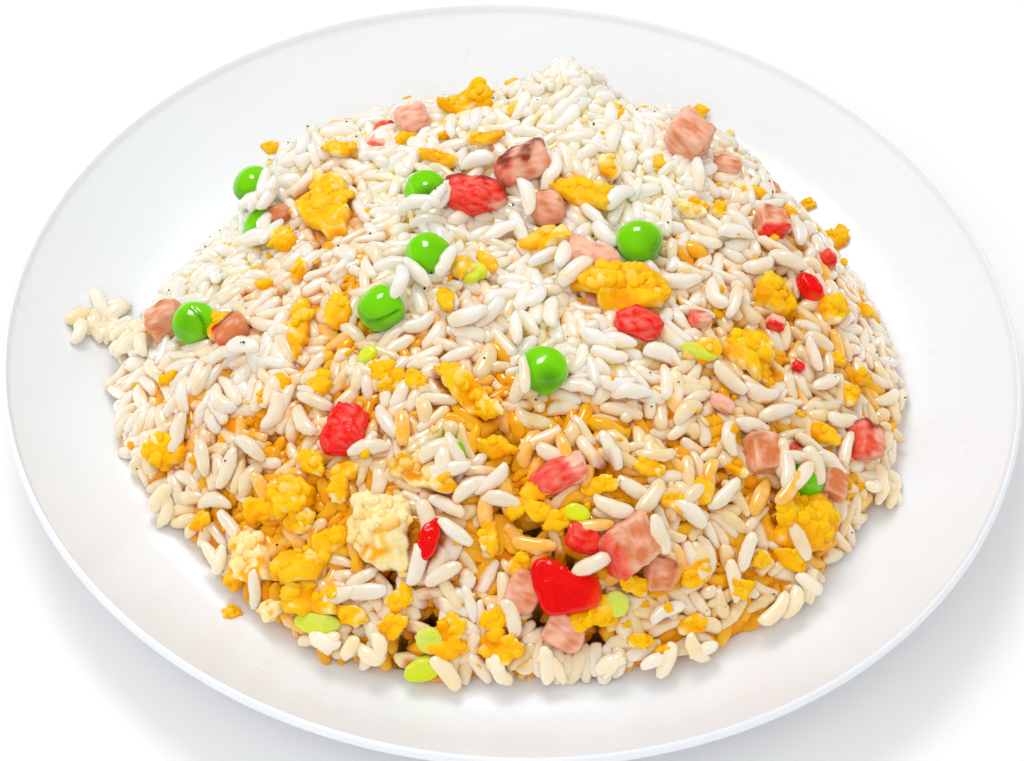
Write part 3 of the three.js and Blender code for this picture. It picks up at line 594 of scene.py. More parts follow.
def shell_directions(rings, sides):
    """Unit vectors over a ball: rings from the top pole to the bottom one, then the two poles."""
    polar = np.pi * (np.arange(rings) + 1) / (rings + 1)
    polar, around = np.meshgrid(polar, round_angles(sides), indexing="ij")
    body = [np.sin(polar) * np.cos(around), np.sin(polar) * np.sin(around), np.cos(polar)]
    return np.concatenate([np.stack(body, -1).reshape(-1, 3), [[0, 0, 1], [0, 0, -1]]])


def shifts(count, step):
    """Offsets by which each of several pieces reads ripples in a part of its own."""
    return step * np.arange(count)[:, None, None]


def skylight(axes, ball):
    """How much painted light a ball's directions get once turned: their cosines with the way to the sky.
    """
    return np.einsum("pij,vj->pvi", axes, ball) @ SKYWARD


def plan_share(local, sizes):
    """How far out each point of a scrap lies: 0 at its middle and 1 on the ellipse of its sizes."""
    return np.hypot(*(local[..., :2] / sizes[:, None, :2] * 2).transpose(2, 0, 1))


def block_points(sizes, squareness, rough, span, grid, seed):
    """Uneven blocks: ball directions divided by their p-norm, which squares them up, times half the size,
    then pushed in and out by ripples that differ from piece to piece."""
    ball = shell_directions(*grid)
    power = np.broadcast_to(squareness, len(sizes))[:, None]
    norm = (np.abs(ball)[None] ** power[..., None]).sum(-1) ** (1 / power)
    local = ball[None] / norm[..., None] * sizes[:, None, :] / 2
    push = rough * ripples(local + shifts(len(sizes), 40.0), span, seed)
    return local + push[..., None] * ball[None] * 0.5


def outline_radii(sides, turn, radii):
    """A closed outline's radius at even angles after a turn in degrees, through evenly spaced radii:
    their trigonometric series."""
    around = round_angles(sides) + math.radians(turn)
    terms = np.fft.rfft(radii) / len(radii)
    waves = np.arange(len(terms))
    weight = np.where((waves == 0) | (2 * waves == len(radii)), 1, 2)
    return (weight * terms * np.exp(1j * waves * around[..., None])).real.sum(-1)


def torn_outlines(count, torn, sides, seed):
    """Outlines near 1, one per scrap: cosines of 2 to 13 waves round it, of random swell and phase."""
    rng = np.random.default_rng(seed)
    around = round_angles(sides)
    outline = np.ones((count, sides))
    for wave in range(2, 14):
        swell = torn / wave**0.85 * rng.uniform(-1, 1, (count, 1))
        outline += swell * np.cos(wave * around + rng.uniform(0, 2 * np.pi, (count, 1)))
    return outline


def fold_height(plan, sizes, fold, seed, shift):
    """How far a scrap's fold lifts its points: broad ripples, less on small scraps, in a part that the
    scrap's shift chooses."""
    return fold * ripples(plan + shift, 11.0, seed + 1) * np.minimum(1, sizes[:, 0] / 12)[:, None]


def scrap_points(sizes, flatness, fold, froth, grid, seed, outline):
    """Thin torn scraps: a disc of radii from the middle to the edge on both faces, out to an uneven
    outline. The thickness falls off as a superellipse, both faces follow one fold, and the upper face
    has froth: the size of ripples, which makes round lumps with sharp creases between them."""
    steps, sides = grid
    count = len(sizes)
    radii = np.linspace(0, 1, steps + 1)[1:] ** 0.8
    share = np.concatenate([radii * 0.985, radii[::-1] * 0.985])
    face = np.repeat([1.0, -1.0], steps)
    around = round_angles(sides)
    plan = share[None, :, None] * outline[:, None, :]
    x = plan * np.cos(around) * sizes[:, 0, None, None] / 2
    y = plan * np.sin(around) * sizes[:, 1, None, None] / 2
    body = (1 - share**flatness) ** (1 / flatness) * face
    z = body[None, :, None] * sizes[:, 2, None, None] / 2 * np.ones_like(x)
    poles = np.zeros((count, 2, 3))
    poles[:, :, 2] = sizes[:, 2, None] / 2 * (1, -1)
    local = np.concatenate([np.stack([x, y, z], -1).reshape(count, -1, 3), poles], 1)
    shift = shifts(count, SCRAP_SHIFT)
    bend = fold_height(local[..., :2], sizes, fold, seed, shift)
    upper = smooth_step(local[..., 2] / sizes[:, 2, None], -0.3, 0.3)
    lumps = np.abs(ripples(local + shift, 5.2, seed + 2))
    lumps = lumps + 0.5 * np.abs(ripples(local + shift, 2.6, seed + 3))
    local[..., 2] += bend + froth * (0.25 + 0.75 * upper) * (lumps - 1.0)
    for axis in (0, 1):
        local[..., axis] += 0.35 * froth * ripples(local + shift, 2.4, seed + 4 + axis)
    return local


def obstacle_balls():
    """Balls that grains settle beside, as middles and radii: those that fill the toppings, each in a grid
    of balls as wide as it is thick, those along the shown grains, and one in each dark gap."""
    middles, radii = [], []
    for table in (*NODE_TABLES, SMALL_HAM):
        places, axes, sizes, _tones = topping_rows(table)
        for place, turn, size in zip(places, axes, sizes):
            radius = min(size) / 2
            counts = [max(1, int(round(side / radius / 1.2))) for side in size]
            steps = [np.linspace(-1, 1, count) * (side / 2 - radius) for side, count in zip(size, counts)]
            grid = np.stack(np.meshgrid(*steps, indexing="ij"), -1).reshape(-1, 3)
            middles.append(grid @ turn.T + place)
            radii.append(np.full(len(grid), radius * TOPPING_PACKING))
    middle, along, length, width = shown_grains()
    reach = (length - width) / 2
    for share in (-1, 0, 1):
        middles.append(middle + share * reach[:, None] * along)
        radii.append(width / 2 * GRAIN_PACKING)
    middles.append(sighted(DARK_GAPS, np.full(len(DARK_GAPS), -1.2)))
    radii.append(np.full(len(DARK_GAPS), GAP_RADIUS))
    return np.concatenate(middles), np.concatenate(radii)


@functools.cache
def shown_grains():
    """The shown grains: middles, directions, lengths and widths."""
    rice = bpy.context.scene.fried_rice.rice
    rng = np.random.default_rng(GRAIN_SEED + 3)
    rows = np.array(SHOWN_GRAINS, float)
    pixels, turns, lifts = rows[:, :2], rows[:, 2], rows[:, 3]
    on_topping, in_rice = sighted(pixels, lifts), sighted(pixels, lifts, skin_height)
    middle = np.where(lifts[:, None] > OVER_TOPPING, on_topping, in_rice)
    along = turned_axes(middle, turns, rng.uniform(-12, 12, len(rows)))[:, :, 0]
    along = unit(along + surface_normal(middle) * rng.uniform(-0.15, 0.25, (len(rows), 1)))
    length = (rice.grain_length / MM) * rng.uniform(0.96, 1.14, len(rows))
    width = (rice.grain_width / MM) * rng.uniform(0.96, 1.12, len(rows))
    return middle, along, length, width


@functools.cache
def yolk_places():
    """Plan points of the stained zones."""
    return sighted([zone[0] for zone in YOLK_ZONES], np.zeros(len(YOLK_ZONES)))[:, :2]


@functools.cache
def topping_places():
    """Plan points of the toppings that are the frame's nodes, where the heap's skin is calm."""
    return np.concatenate([topping_rows(table)[0][:, :2] for table in NODE_TABLES])


def cell_pairs(cells, others, steps):
    """For each step, index pairs of a point and another whose cell is that step away. The others are
    sorted by cell, and each point looks up the span of the cell that it wants."""
    low = np.minimum(cells.min(0), others.min(0)) - 1
    wide, deep = (np.maximum(cells.max(0), others.max(0)) - low + 2)[:2]
    weights = np.array([1, wide, wide * deep])
    key, other_key = (cells - low) @ weights, (others - low) @ weights
    order = np.argsort(other_key, kind="stable")
    ordered = other_key[order]
    for step in steps:
        wanted = key + step @ weights
        start = np.searchsorted(ordered, wanted, "left")
        counts = np.searchsorted(ordered, wanted, "right") - start
        first = np.repeat(np.arange(len(cells)), counts)
        along = np.arange(counts.sum()) - np.repeat(np.cumsum(counts) - counts, counts)
        yield first, order[np.repeat(start, counts) + along]


def near_pairs(points, reach):
    """Index pairs of points in the same or neighbouring cubes of side reach, each pair once."""
    cells = np.floor(points / reach).astype(np.int64)
    steps = [(0, 0, 0), (1, 0, 0)]
    steps += [(dx, 1, 0) for dx in (-1, 0, 1)]
    steps += [(dx, dy, 1) for dy in (-1, 0, 1) for dx in (-1, 0, 1)]
    pairs = list(cell_pairs(cells, cells, np.array(steps)))
    first, second = pairs[0]
    once = first < second
    pairs[0] = first[once], second[once]
    return tuple(np.concatenate(side) for side in zip(*pairs))


def relief(x, y):
    """How far clumps rise over the heap's surface, and the narrow gorges and stained hollows between them
    sink under it. It fades out at the heap's foot and round the toppings."""
    plan = np.stack([x, y], -1)
    calm = smooth_step(1 - foot_share(x, y), 0, RISE_FADE)
    for place in topping_places():
        calm = calm * (1 - 0.8 * bell(plan, place, CALM_SPREAD))
    clumps = ripples(plan, CLUMP_SPAN, RELIEF_SEED) + 0.6 * ripples(plan, CLUMP_SPAN / 2, RELIEF_SEED + 1)
    gorge = np.exp(-((ripples(plan, GORGE_SPAN, RELIEF_SEED + 2) / GORGE_WIDTH) ** 2))
    front = smooth_step(-y, -30, 10)
    rise = CLUMP_RISE * (0.6 + 0.4 * front) * clumps - GORGE_DEPTH * (0.35 + 0.65 * front) * gorge
    for place, (_point, spread, strength) in zip(yolk_places(), YOLK_ZONES):
        rise = rise - ZONE_SINK * max(0, strength - 0.5) * bell(plan, place, 0.7 * spread)
    return calm * rise


def skin_height(x, y):
    """The height that the uppermost grains reach. Off the heap it is the plate's."""
    return surface_height(x, y) + relief(x, y)


def strewn_grains(rice, rng):
    """Grains at random in a shell under the skin, denser where it is steep: middles, directions, lengths
    and widths. They lie within about thirty degrees of the surface, and a few are broken."""
    plan = rng.uniform(-GRAIN_FIELD, GRAIN_FIELD, (rice.grain_count * 6, 2))
    plan = plan[foot_share(plan[:, 0], plan[:, 1]) < HEAP_EDGE]
    steep = 1 / surface_normal(plan)[:, 2]
    plan = plan[rng.uniform(0, 2.4, len(plan)) < steep][: rice.grain_count]
    count = len(plan)
    normal = surface_normal(plan)
    depth = rng.uniform(0.9, SHELL_DEPTH, count)
    middle = np.column_stack([plan, skin_height(plan[:, 0], plan[:, 1])]) - normal * depth[:, None]
    flat = unit(less_along(rng.normal(size=(count, 3)), normal))
    along = unit(flat + normal * rng.normal(0.0, 0.3, (count, 1)))
    length = (rice.grain_length / MM) * rng.uniform(0.82, 1.12, count)
    length = np.where(rng.uniform(size=count) < BROKEN_SHARE, BROKEN_LENGTH * length, length)
    width = (rice.grain_width / MM) * rng.uniform(0.84, 1.14, count)
    return middle, along, length, width


def pushed_apart(points, radius, first, second, share):
    """How far each ball is pushed: for each pair that overlaps, a share of the overlap along the line
    between them, in opposite ways."""
    apart = points[first] - points[second]
    far = np.maximum(np.sqrt((apart * apart).sum(-1)), 1e-6)
    overlap = np.maximum(0, radius[first] + radius[second] - far)
    step = apart * (overlap / far * share)[:, None]
    push = np.zeros_like(points)
    for axis in range(3):
        push[:, axis] += np.bincount(first, step[:, axis], len(points))
        push[:, axis] -= np.bincount(second, step[:, axis], len(points))
    return push


def skin_depth(middle, normal):
    """How deep points lie under the skin, along its normals."""
    return (skin_height(middle[:, 0], middle[:, 1]) - middle[:, 2]) * normal[:, 2]


@functools.cache
def settled_grains():
    """The grains of the heap: middles, directions, lengths, widths and depths under the skin.

    Each strewn grain is three balls in a row. In each round, balls that overlap push each other apart,
    toppings and the plate push them off, and the shell holds them in. The shown grains are added, and
    those in dark gaps are dropped.
    """
    rice = bpy.context.scene.fried_rice.rice
    middle, along, length, width = strewn_grains(rice, np.random.default_rng(GRAIN_SEED))
    block_middles, block_radii = obstacle_balls()
    _balls, radii, owner = grain_balls(middle, along, length, width)
    count = len(owner)
    radius = np.concatenate([radii * GRAIN_PACKING, block_radii])
    owner = np.concatenate([owner, np.full(len(block_radii), -1)])
    reach = width.max() + PAIR_MARGIN
    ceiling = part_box("rice_heap")[1].z / MM - 0.4
    for round_number in range(SETTLE_ROUNDS):
        balls = grain_balls(middle, along, length, width)[0]
        if round_number % PAIR_ROUNDS == 0:
            a, b = settling_pairs(balls, block_middles, block_radii, reach)
            apart = owner[a] != owner[b]
            a, b = a[apart], b[apart]
            share = np.where((owner[a] >= 0) & (owner[b] >= 0), 0.5, 1.0)
        push = pushed_apart(np.concatenate([balls, block_middles]), radius, a, b, share)[:count]
        floor = plate_top(np.hypot(balls[:, 0], balls[:, 1])) + radius[:count]
        push[:, 2] += np.maximum(0, floor - balls[:, 2])
        push[:, 2] -= np.maximum(0, balls[:, 2] + radius[:count] - ceiling)
        size = np.linalg.norm(push, axis=-1, keepdims=True)
        push *= np.minimum(1, SETTLE_CAP / np.maximum(size, 1e-6)) * SETTLE_EASE
        push = push.reshape(-1, 3, 3)
        middle = middle + push.sum(1) / 1.6
        along = unit(along * (length - width)[:, None] + push[:, 2] - push[:, 0])
        normal = surface_normal(middle)
        along = unit(less_along(along, normal, LIE_FLAT))
        depth = skin_depth(middle, normal)
        wanted = np.clip(depth, 0.45 * width, SHELL_DEPTH)
        middle = middle + normal * (depth - wanted)[:, None] * 0.5
        over = np.maximum(0, foot_share(middle[:, 0], middle[:, 1]) - HEAP_EDGE)
        middle[:, :2] *= 1 - over[:, None]
    settled = (middle, along, length, width, skin_depth(middle, normal))
    shown = (*shown_grains(), np.full(len(SHOWN_GRAINS), SHOWN_DEPTH))
    grains = [np.concatenate(pair) for pair in zip(settled, shown)]
    balls = grain_balls(*grains[:4])[0].reshape(-1, 3, 3)
    clear = gap_share(balls[..., 0], balls[..., 1]).max(1) < 0.5
    return tuple(values[clear] for values in grains)


def settling_pairs(balls, block_middles, block_radii, reach):
    """Pairs of balls that may touch: two grains' balls within reach, or a grain's ball and a topping's
    ball within the topping ball's radius and half the reach. Topping balls are numbered after the
    grains'."""
    first, second = near_pairs(balls, reach)
    held = [
        np.flatnonzero((np.abs(balls - place) < size + reach / 2).all(-1))
        for place, size in zip(block_middles, block_radii)
    ]
    block = np.repeat(np.arange(len(held)), [len(found) for found in held]) + len(balls)
    return np.concatenate([first, np.concatenate(held)]), np.concatenate([second, block])


def grain_points(middle, along, length, width, rng):
    """Rice grains: rings along a half turn, as wide as the sine of the turn to a power, which makes the
    ends blunt. A grain is flat to some degree, thicker towards one end, and bent to one side as a square,
    and each ring is a little off in size and place."""
    rings, sides = GRAIN_GRID
    count = len(middle)
    turn = np.pi * (np.arange(rings) + 0.75) / (rings + 0.5)
    station = np.concatenate([np.repeat(-np.cos(turn), sides), [-1, 1]])
    blunt = rng.uniform(0.55, 0.8, (count, 1))
    girth = np.concatenate([np.repeat(np.sin(turn), sides), [0, 0]])[None] ** blunt
    girth = girth * (1 + ring_jitter(0.045, count, rng))
    around = np.concatenate([np.tile(round_angles(sides), rings), [0, 0]])
    taper = 1 + rng.uniform(-0.18, 0.18, (count, 1)) * station
    thick = rng.uniform(0.72, 0.96, (count, 1))
    across_way = unit(np.cross(along, rng.normal(size=(count, 3))))
    other_way = np.cross(along, across_way)
    wide = width[:, None]
    half = wide / 2 * girth * taper
    bend = rng.uniform(-0.22, 0.22, (count, 1)) * wide * (1 - 2 * station**2)
    across = half * np.cos(around) + bend + wide * ring_jitter(0.028, count, rng)
    other = half * thick * np.sin(around) + wide * ring_jitter(0.028, count, rng)
    run = station * length[:, None] / 2
    parts = ((run, along), (across, across_way), (other, other_way))
    return sum((far[..., None] * way[:, None] for far, way in parts), middle[:, None])


def ring_jitter(size, count, rng):
    """A random value per ring of each grain, repeated round the ring, and none at the poles."""
    rings, sides = GRAIN_GRID
    values = np.repeat(size * rng.normal(size=(count, rings)), sides, axis=1)
    return np.concatenate([values, np.zeros((count, 2))], 1)


def grain_balls(middle, along, length, width):
    """Three balls in a row along each grain: their middles, radii and the number of the grain."""
    offsets = (length - width)[:, None] / 2 * np.array([-1.0, 0.0, 1.0])
    balls = (middle[:, None] + along[:, None] * offsets[..., None]).reshape(-1, 3)
    return balls, np.repeat(width / 2, 3), np.repeat(np.arange(len(middle)), 3)


def ways_out(points, middle, along, length, width):
    """Unit vectors away from each grain's own line, for its vertices (grains, vertices, xyz)."""
    arm = points - middle[:, None]
    run = (arm * along[:, None]).sum(-1)
    half = ((length - width) / 2)[:, None]
    return unit(arm - np.clip(run, -half, half)[..., None] * along[:, None])


def shut_in(points, ways, owner, balls, radii, ball_owner):
    """How shut in each point is, from 0 in the open to 1. Each ball within reach, apart from the point's
    own grain's, adds its radius over its distance, squared, times the cosine between the way out and the
    way to the ball. The result is one less the exponential of minus the sum."""
    low = np.minimum(points.min(0), balls.min(0))
    cells, ball_cells = (np.floor((p - low) / SHUT_REACH).astype(np.int64) for p in (points, balls))
    total = np.zeros(len(points))
    for first, second in cell_pairs(cells, ball_cells, np.array(list(np.ndindex(3, 3, 3))) - 1):
        other = owner[first] != ball_owner[second]
        first, second = first[other], second[other]
        to_ball = balls[second] - points[first]
        far = np.maximum((to_ball * to_ball).sum(-1), 0.25)
        cosine = np.maximum(0, (to_ball * ways[first]).sum(-1)) / np.sqrt(far)
        cover = np.where(far < SHUT_REACH**2, cosine * np.minimum(1, radii[second] ** 2 / far), 0)
        total += np.bincount(first, cover, len(points))
    return 1 - np.exp(-total)


def grains_shut_in(points, middle, along, length, width):
    """How shut in each vertex of each grain is by other grains and by the toppings."""
    balls, radii, owner = grain_balls(middle, along, length, width)
    blocks, block_radii = obstacle_balls()
    return shut_in(
        points.reshape(-1, 3),
        ways_out(points, middle, along, length, width).reshape(-1, 3),
        np.repeat(np.arange(len(middle)), points.shape[1]),
        np.concatenate([balls, blocks]),
        np.concatenate([radii, block_radii]),
        np.concatenate([owner, np.full(len(blocks), -1)]),
    ).reshape(points.shape[:2])


def linear(red, green, blue):
    """A screen colour from 0 to 255 as the linear one that shaders use."""
    screen = np.array([red, green, blue]) / 255
    light = np.where(screen < 0.04045, screen / 12.92, ((screen + 0.055) / 1.055) ** 2.4)
    return tuple(light.tolist())


def blend_tints(low, high, share):
    """Mixes two colours by an array of shares held between 0 and 1."""
    share = np.clip(share, 0, 1)[..., None]
    return np.asarray(low) * (1 - share) + np.asarray(high) * share


def toward(tint, goal, share):
    """Moves tints towards a colour by an array of shares."""
    return tint + (np.asarray(goal) - tint) * share[..., None]


def colour(name, description, value):
    return FloatVectorProperty(
        name=name, description=description, default=value, subtype="COLOR", size=3, min=0, max=1
    )


def distance(name, description, value):
    return FloatProperty(name=name, description=description, default=value, unit="LENGTH", min=0)


def light_power(name, description, value):
    return FloatProperty(name=name, description=description, default=value, subtype="POWER", min=0)


def factor(name, description, value):
    return FloatProperty(
        name=name, description=description, default=value, subtype="FACTOR", min=0, max=1
    )


class RiceSettings(PropertyGroup):
    """Size, number and colours of the rice grains."""

    grain_length: distance("Grain length", "Usual length of a cooked grain", 0.0080)
    grain_width: distance("Grain width", "Usual width of a cooked grain", 0.0034)
    grain_count: IntProperty(name="Grains", description="Grains in the heap", default=5600, min=100)
    white: colour("White", "Grains on top of the heap", linear(252, 250, 244))
    cream: colour("Cream", "Grains between and below them", linear(253, 232, 180))
    # Painted shade: the seam colours tint grains where other grains shut them in
    seam: colour("Seam", "Where grains touch, away from the egg", linear(255, 235, 140))
    gold_seam_shade: colour("Golden seam", "Where grains touch near the egg", linear(255, 188, 0))
    deep_seam_shade: colour("Deep seam", "The most shut in parts of the golden seams", linear(200, 88, 0))
    golden: colour("Golden", "Grains stained by egg and oil", linear(255, 196, 10))
    deep: colour("Deep", "What shows at the bottom of the gaps", linear(252, 168, 0))
    # Painted shade: the core goes nearly to this colour at the bottom of the dark gaps
    dark: colour("Dark", "The darkest gaps", linear(40, 8, 2))


class ToppingSettings(PropertyGroup):
    """Colours of what lies in the rice."""

    pea: colour("Pea", "Skin of a pea", linear(128, 222, 0))
    # Painted shade: the pea's side away from the sky, with random patches
    pea_painted_shade: colour("Pea shade", "Darker patches of the skin", linear(88, 168, 0))
    # Painted shade in the creases of the skin
    pea_crease_shade: colour("Pea crease", "Creases in the skin", linear(24, 96, 0))
    ham: colour("Ham", "Cut face of cooked ham", linear(250, 202, 176))
    ham_rim: colour("Ham rim", "Paler rims of the crisp dice", linear(255, 224, 190))
    ham_tan: colour("Ham tan", "Fried patches on the ham", linear(224, 134, 76))
    ham_red: colour("Ham red", "Red glaze that has soaked in", linear(246, 12, 2))
    ham_crust: colour("Ham crust", "Browned edge of the ham", linear(134, 32, 12))
    pepper: colour("Red pepper", "Skin of the red pepper", linear(240, 2, 0))
    pepper_edge: colour("Pepper edge", "Flesh at its cut edge", linear(250, 84, 22))
    egg: colour("Egg", "Scrambled egg", linear(255, 208, 6))
    # Also painted shade: low on the scraps, in their creases and on the lumps' under sides
    egg_yolk_and_shade: colour("Yolk", "Deep yellow parts of the egg", linear(255, 164, 0))
    # Also painted light on the lumps' sky side
    egg_pale_and_light: colour("Curd", "Pale curds and egg white", linear(255, 244, 196))
    onion: colour("Spring onion", "Green of the spring onion", linear(228, 236, 10))
    onion_pale: colour("Onion white", "White part of the spring onion", linear(226, 232, 120))
    speck: colour("Specks", "Ground black pepper", linear(54, 36, 24))


class StageSettings(PropertyGroup):
    """Porcelain, floor, light and camera."""

    porcelain: colour("Porcelain", "Glaze of the plate", (0.905, 0.935, 0.972))
    floor: colour("Floor", "Plain floor under the plate", (0.93, 0.93, 0.93))
    fill: factor("Fill", "Strength of the even light all round", 0.715)
    gloss: factor("Gloss fill", "Share of the even light that reflections show", 0.15)
    key: light_power("Key", "Power of the soft light overhead", 3.1)
    front: light_power("Front", "Power of the broad light over the camera", 3.2)
    glint: light_power("Glint", "Power of the light that only shines in reflections", 5.5)
    lens: FloatProperty(
        name="Lens",
        description="Focal length that gives the reference view",
        default=SIGHT_SCALE * SENSOR_WIDTH / PICTURE_WIDTH,
        min=1,
        subtype="DISTANCE_CAMERA",
    )


class FriedRiceSettings(PropertyGroup):
    """All settings of the plate of fried rice."""

    rice: PointerProperty(type=RiceSettings)
    toppings: PointerProperty(type=ToppingSettings)
    stage: PointerProperty(type=StageSettings)


def fill_sockets(tree, node, sockets):
    """Sets a node's inputs to values, or links them where the value is another node's socket."""
    for name, value in sockets.items():
        if isinstance(value, bpy.types.NodeSocket):
            tree.links.new(value, node.inputs[name])
        else:
            node.inputs[name].default_value = value


def add_node(tree, kind, sockets=None, **settings):
    """A new shader node of a kind, with its settings and its inputs."""
    node = tree.nodes.new(f"ShaderNode{kind}")
    for name, value in settings.items():
        setattr(node, name, value)
    fill_sockets(tree, node, sockets or {})
    return node


def new_group(name, inputs, outputs):
    """An empty shader node group with named sockets: inputs of a kind with a default, outputs of a kind.
    Returns it, its inputs as sockets to link from, and the node that takes its outputs."""
    group = bpy.data.node_groups.new(name, "ShaderNodeTree")
    for socket_name, kind, value in inputs:
        socket = group.interface.new_socket(name=socket_name, in_out="INPUT", socket_type=kind)
        socket.default_value = value
    for socket_name, kind in outputs:
        group.interface.new_socket(name=socket_name, in_out="OUTPUT", socket_type=kind)
    return group, group.nodes.new("NodeGroupInput").outputs, group.nodes.new("NodeGroupOutput")


def object_noise(tree, scale, detail):
    """The output of a noise texture on Object coordinates."""
    place = add_node(tree, "TexCoord").outputs["Object"]
    return add_node(tree, "TexNoise", {"Vector": place, "Scale": scale, "Detail": detail}).outputs["Fac"]


@functools.cache
def mottled_tint():
    """Node group: noise on Object coordinates, stretched to 0 to 1, mixes a tint with a spot colour."""
    group, given, leave = new_group(
        "Mottled tint",
        [
            ("Tint", "NodeSocketColor", (1, 1, 1, 1)),
            ("Spot", "NodeSocketColor", (1, 1, 1, 1)),
            ("Scale", "NodeSocketFloat", 400.0),
            ("Amount", "NodeSocketFloat", 0.5),
        ],
        [("Colour", "NodeSocketColor")],
    )
    noise = object_noise(group, given["Scale"], 3.0)
    spread = add_node(group, "MapRange", {"Value": noise, "From Min": 0.42, "From Max": 0.68})
    share = {0: spread.outputs["Result"], 1: given["Amount"]}
    amount = add_node(group, "Math", share, operation="MULTIPLY").outputs["Value"]
    colours = {"Factor": amount, "A": given["Tint"], "B": given["Spot"]}
    mix = add_node(group, "Mix", colours, data_type="RGBA")
    fill_sockets(group, leave, {"Colour": mix.outputs["Result"]})
    return group


@functools.cache
def moist_skin():
    """Node group: noise on Object coordinates gives an uneven roughness and a fine bumpy normal."""
    group, given, leave = new_group(
        "Moist skin",
        [
            ("Scale", "NodeSocketFloat", 900.0),
            ("Depth", "NodeSocketFloat", 0.0001),
            ("Smoothest", "NodeSocketFloat", 0.2),
            ("Roughest", "NodeSocketFloat", 0.5),
        ],
        [("Roughness", "NodeSocketFloat"), ("Normal", "NodeSocketVector")],
    )
    noise = object_noise(group, given["Scale"], 4.0)
    spread = {"Value": noise, "From Min": 0.3, "From Max": 0.7}
    spread.update({"To Min": given["Smoothest"], "To Max": given["Roughest"]})
    roughness = add_node(group, "MapRange", spread).outputs["Result"]
    bump = add_node(group, "Bump", {"Distance": given["Depth"], "Height": noise})
    fill_sockets(group, leave, {"Roughness": roughness, "Normal": bump.outputs["Normal"]})
    return group


# How a surface looks: the colour, scale and amount of its spots; the scale and depth of its bumps; its
# least and most roughness; how strong its reflections and its coat are; and whether the coat is only as
# strong as the mesh's tint says
Finish = collections.namedtuple(
    "Finish",
    "spot spot_scale spot_amount bump_scale bump_depth smoothest roughest gloss coat wet_on_top",
    defaults=(False,),
)
FINISHES = {
    "rice": Finish(linear(255, 252, 244), 420, 0.3, 700, 0.0001, 0.14, 0.3, 0.2, 0.8, True),
    "golden_rice": Finish(linear(255, 216, 70), 300, 0.5, 700, 0.0001, 0.14, 0.3, 0.15, 0.5, True),
    "deep_rice": Finish(linear(255, 196, 60), 140, 0.15, 500, 0.0005, 0.35, 0.6, 0.1, 0),
    "pea_skin": Finish(linear(144, 226, 4), 160, 0.5, 600, 0.00004, 0.08, 0.14, 0.35, 0.3),
    "ham_meat": Finish(linear(255, 196, 160), 1100, 0.08, 1000, 0.0003, 0.24, 0.45, 0.13, 0.08),
    "pepper_skin": Finish(linear(255, 26, 4), 200, 0.25, 300, 0.001, 0.1, 0.18, 0.42, 0),
    "egg_curd": Finish(linear(255, 214, 12), 700, 0.4, 1700, 0.0003, 0.28, 0.5, 0.1, 0.05),
    "onion_flesh": Finish(linear(214, 228, 40), 500, 0.5, 600, 0.00015, 0.16, 0.35, 0.1, 0.1),
    "pepper_grit": Finish(linear(96, 66, 44), 3000, 0.6, 3000, 0.0002, 0.5, 0.8, 0.2, 0),
}


def new_material(name):
    """A new material and its node tree."""
    material = bpy.data.materials.new(name)
    material.use_nodes = True
    return material, material.node_tree


def dress(tree, tint, finish, sockets):
    """Sets a material's shader to a finish: its spots over a tint, its skin, and what the sockets say."""
    mottle = add_node(
        tree,
        "Group",
        {
            "Tint": tint,
            "Spot": (*finish.spot, 1),
            "Scale": finish.spot_scale,
            "Amount": finish.spot_amount,
        },
        node_tree=mottled_tint(),
    )
    skin = add_node(
        tree,
        "Group",
        {
            "Scale": finish.bump_scale,
            "Depth": finish.bump_depth,
            "Smoothest": finish.smoothest,
            "Roughest": finish.roughest,
        },
        node_tree=moist_skin(),
    )
    shader = {
        "Base Color": mottle.outputs["Colour"],
        "Roughness": skin.outputs["Roughness"],
        "Normal": skin.outputs["Normal"],
        "Specular IOR Level": finish.gloss,
        **sockets,
    }
    fill_sockets(tree, tree.nodes["Principled BSDF"], shader)


@functools.cache
def food_material(finish_name):
    """A food's material: its finish over the tint of its mesh, under a moist coat."""
    finish = FINISHES[finish_name]
    material, tree = new_material(finish_name)
    tint = add_node(tree, "Attribute", attribute_name="tint")
    coat = finish.coat
    if finish.wet_on_top:
        share = {0: tint.outputs["Alpha"], 1: finish.coat}
        coat = add_node(tree, "Math", share, operation="MULTIPLY").outputs["Value"]
    sockets = {"Coat Weight": coat, "Coat Roughness": 0.18, "Diffuse Roughness": 0.9}
    dress(tree, tint.outputs["Color"], finish, sockets)
    return material


def porcelain_material(glaze):
    """Glazed white porcelain: a hard glossy coat over a body that is very faintly uneven."""
    material, tree = new_material("porcelain_glaze")
    finish = Finish(0.985 * np.array(glaze), 40, 0.5, 60, 0.00004, 0.26, 0.34, 0.5, 0.2)
    dress(tree, (*glaze, 1), finish, {"Coat Weight": finish.coat, "Coat Roughness": 0.16})
    return material


def plate_section():
    """The plate's section from the middle of its top, out over the lip and back under it, as radii and
    heights. The lip is a half circle, and the foot ring has small round edges."""
    lip = PLATE_RADIUS - LIP_RADIUS
    top = np.concatenate([np.linspace(4, FLOOR_RADIUS - 4, 12), np.linspace(FLOOR_RADIUS - 2, lip, 28)])
    upper = np.column_stack([top, np.minimum(plate_top(top), PLATE_HEIGHT)])
    turn = np.linspace(80, -80, 11) * np.pi / 180
    lip_height = PLATE_HEIGHT - LIP_RADIUS
    edge = np.column_stack([lip + LIP_RADIUS * np.cos(turn), lip_height + LIP_RADIUS * np.sin(turn)])
    low = np.linspace(PLATE_RADIUS - 3, FOOT_RADIUS + 10, 24)
    outer = np.column_stack([low, plate_top(low + 1) - WALL_THICKNESS])
    foot = np.array([(1.5, FOOT_HEIGHT), (0.2, FOOT_HEIGHT - 0.5), (-0.3, 0.7), (-0.8, 0.1), (-1.4, 0)])
    foot_outside = foot + (FOOT_RADIUS, 0)
    foot_inside = foot[::-1] * (-1, 1) + (FOOT_RADIUS - FOOT_WIDTH, 0)
    return np.concatenate([upper, edge, outer, foot_outside, foot_inside, [(20.0, FOOT_HEIGHT)]])


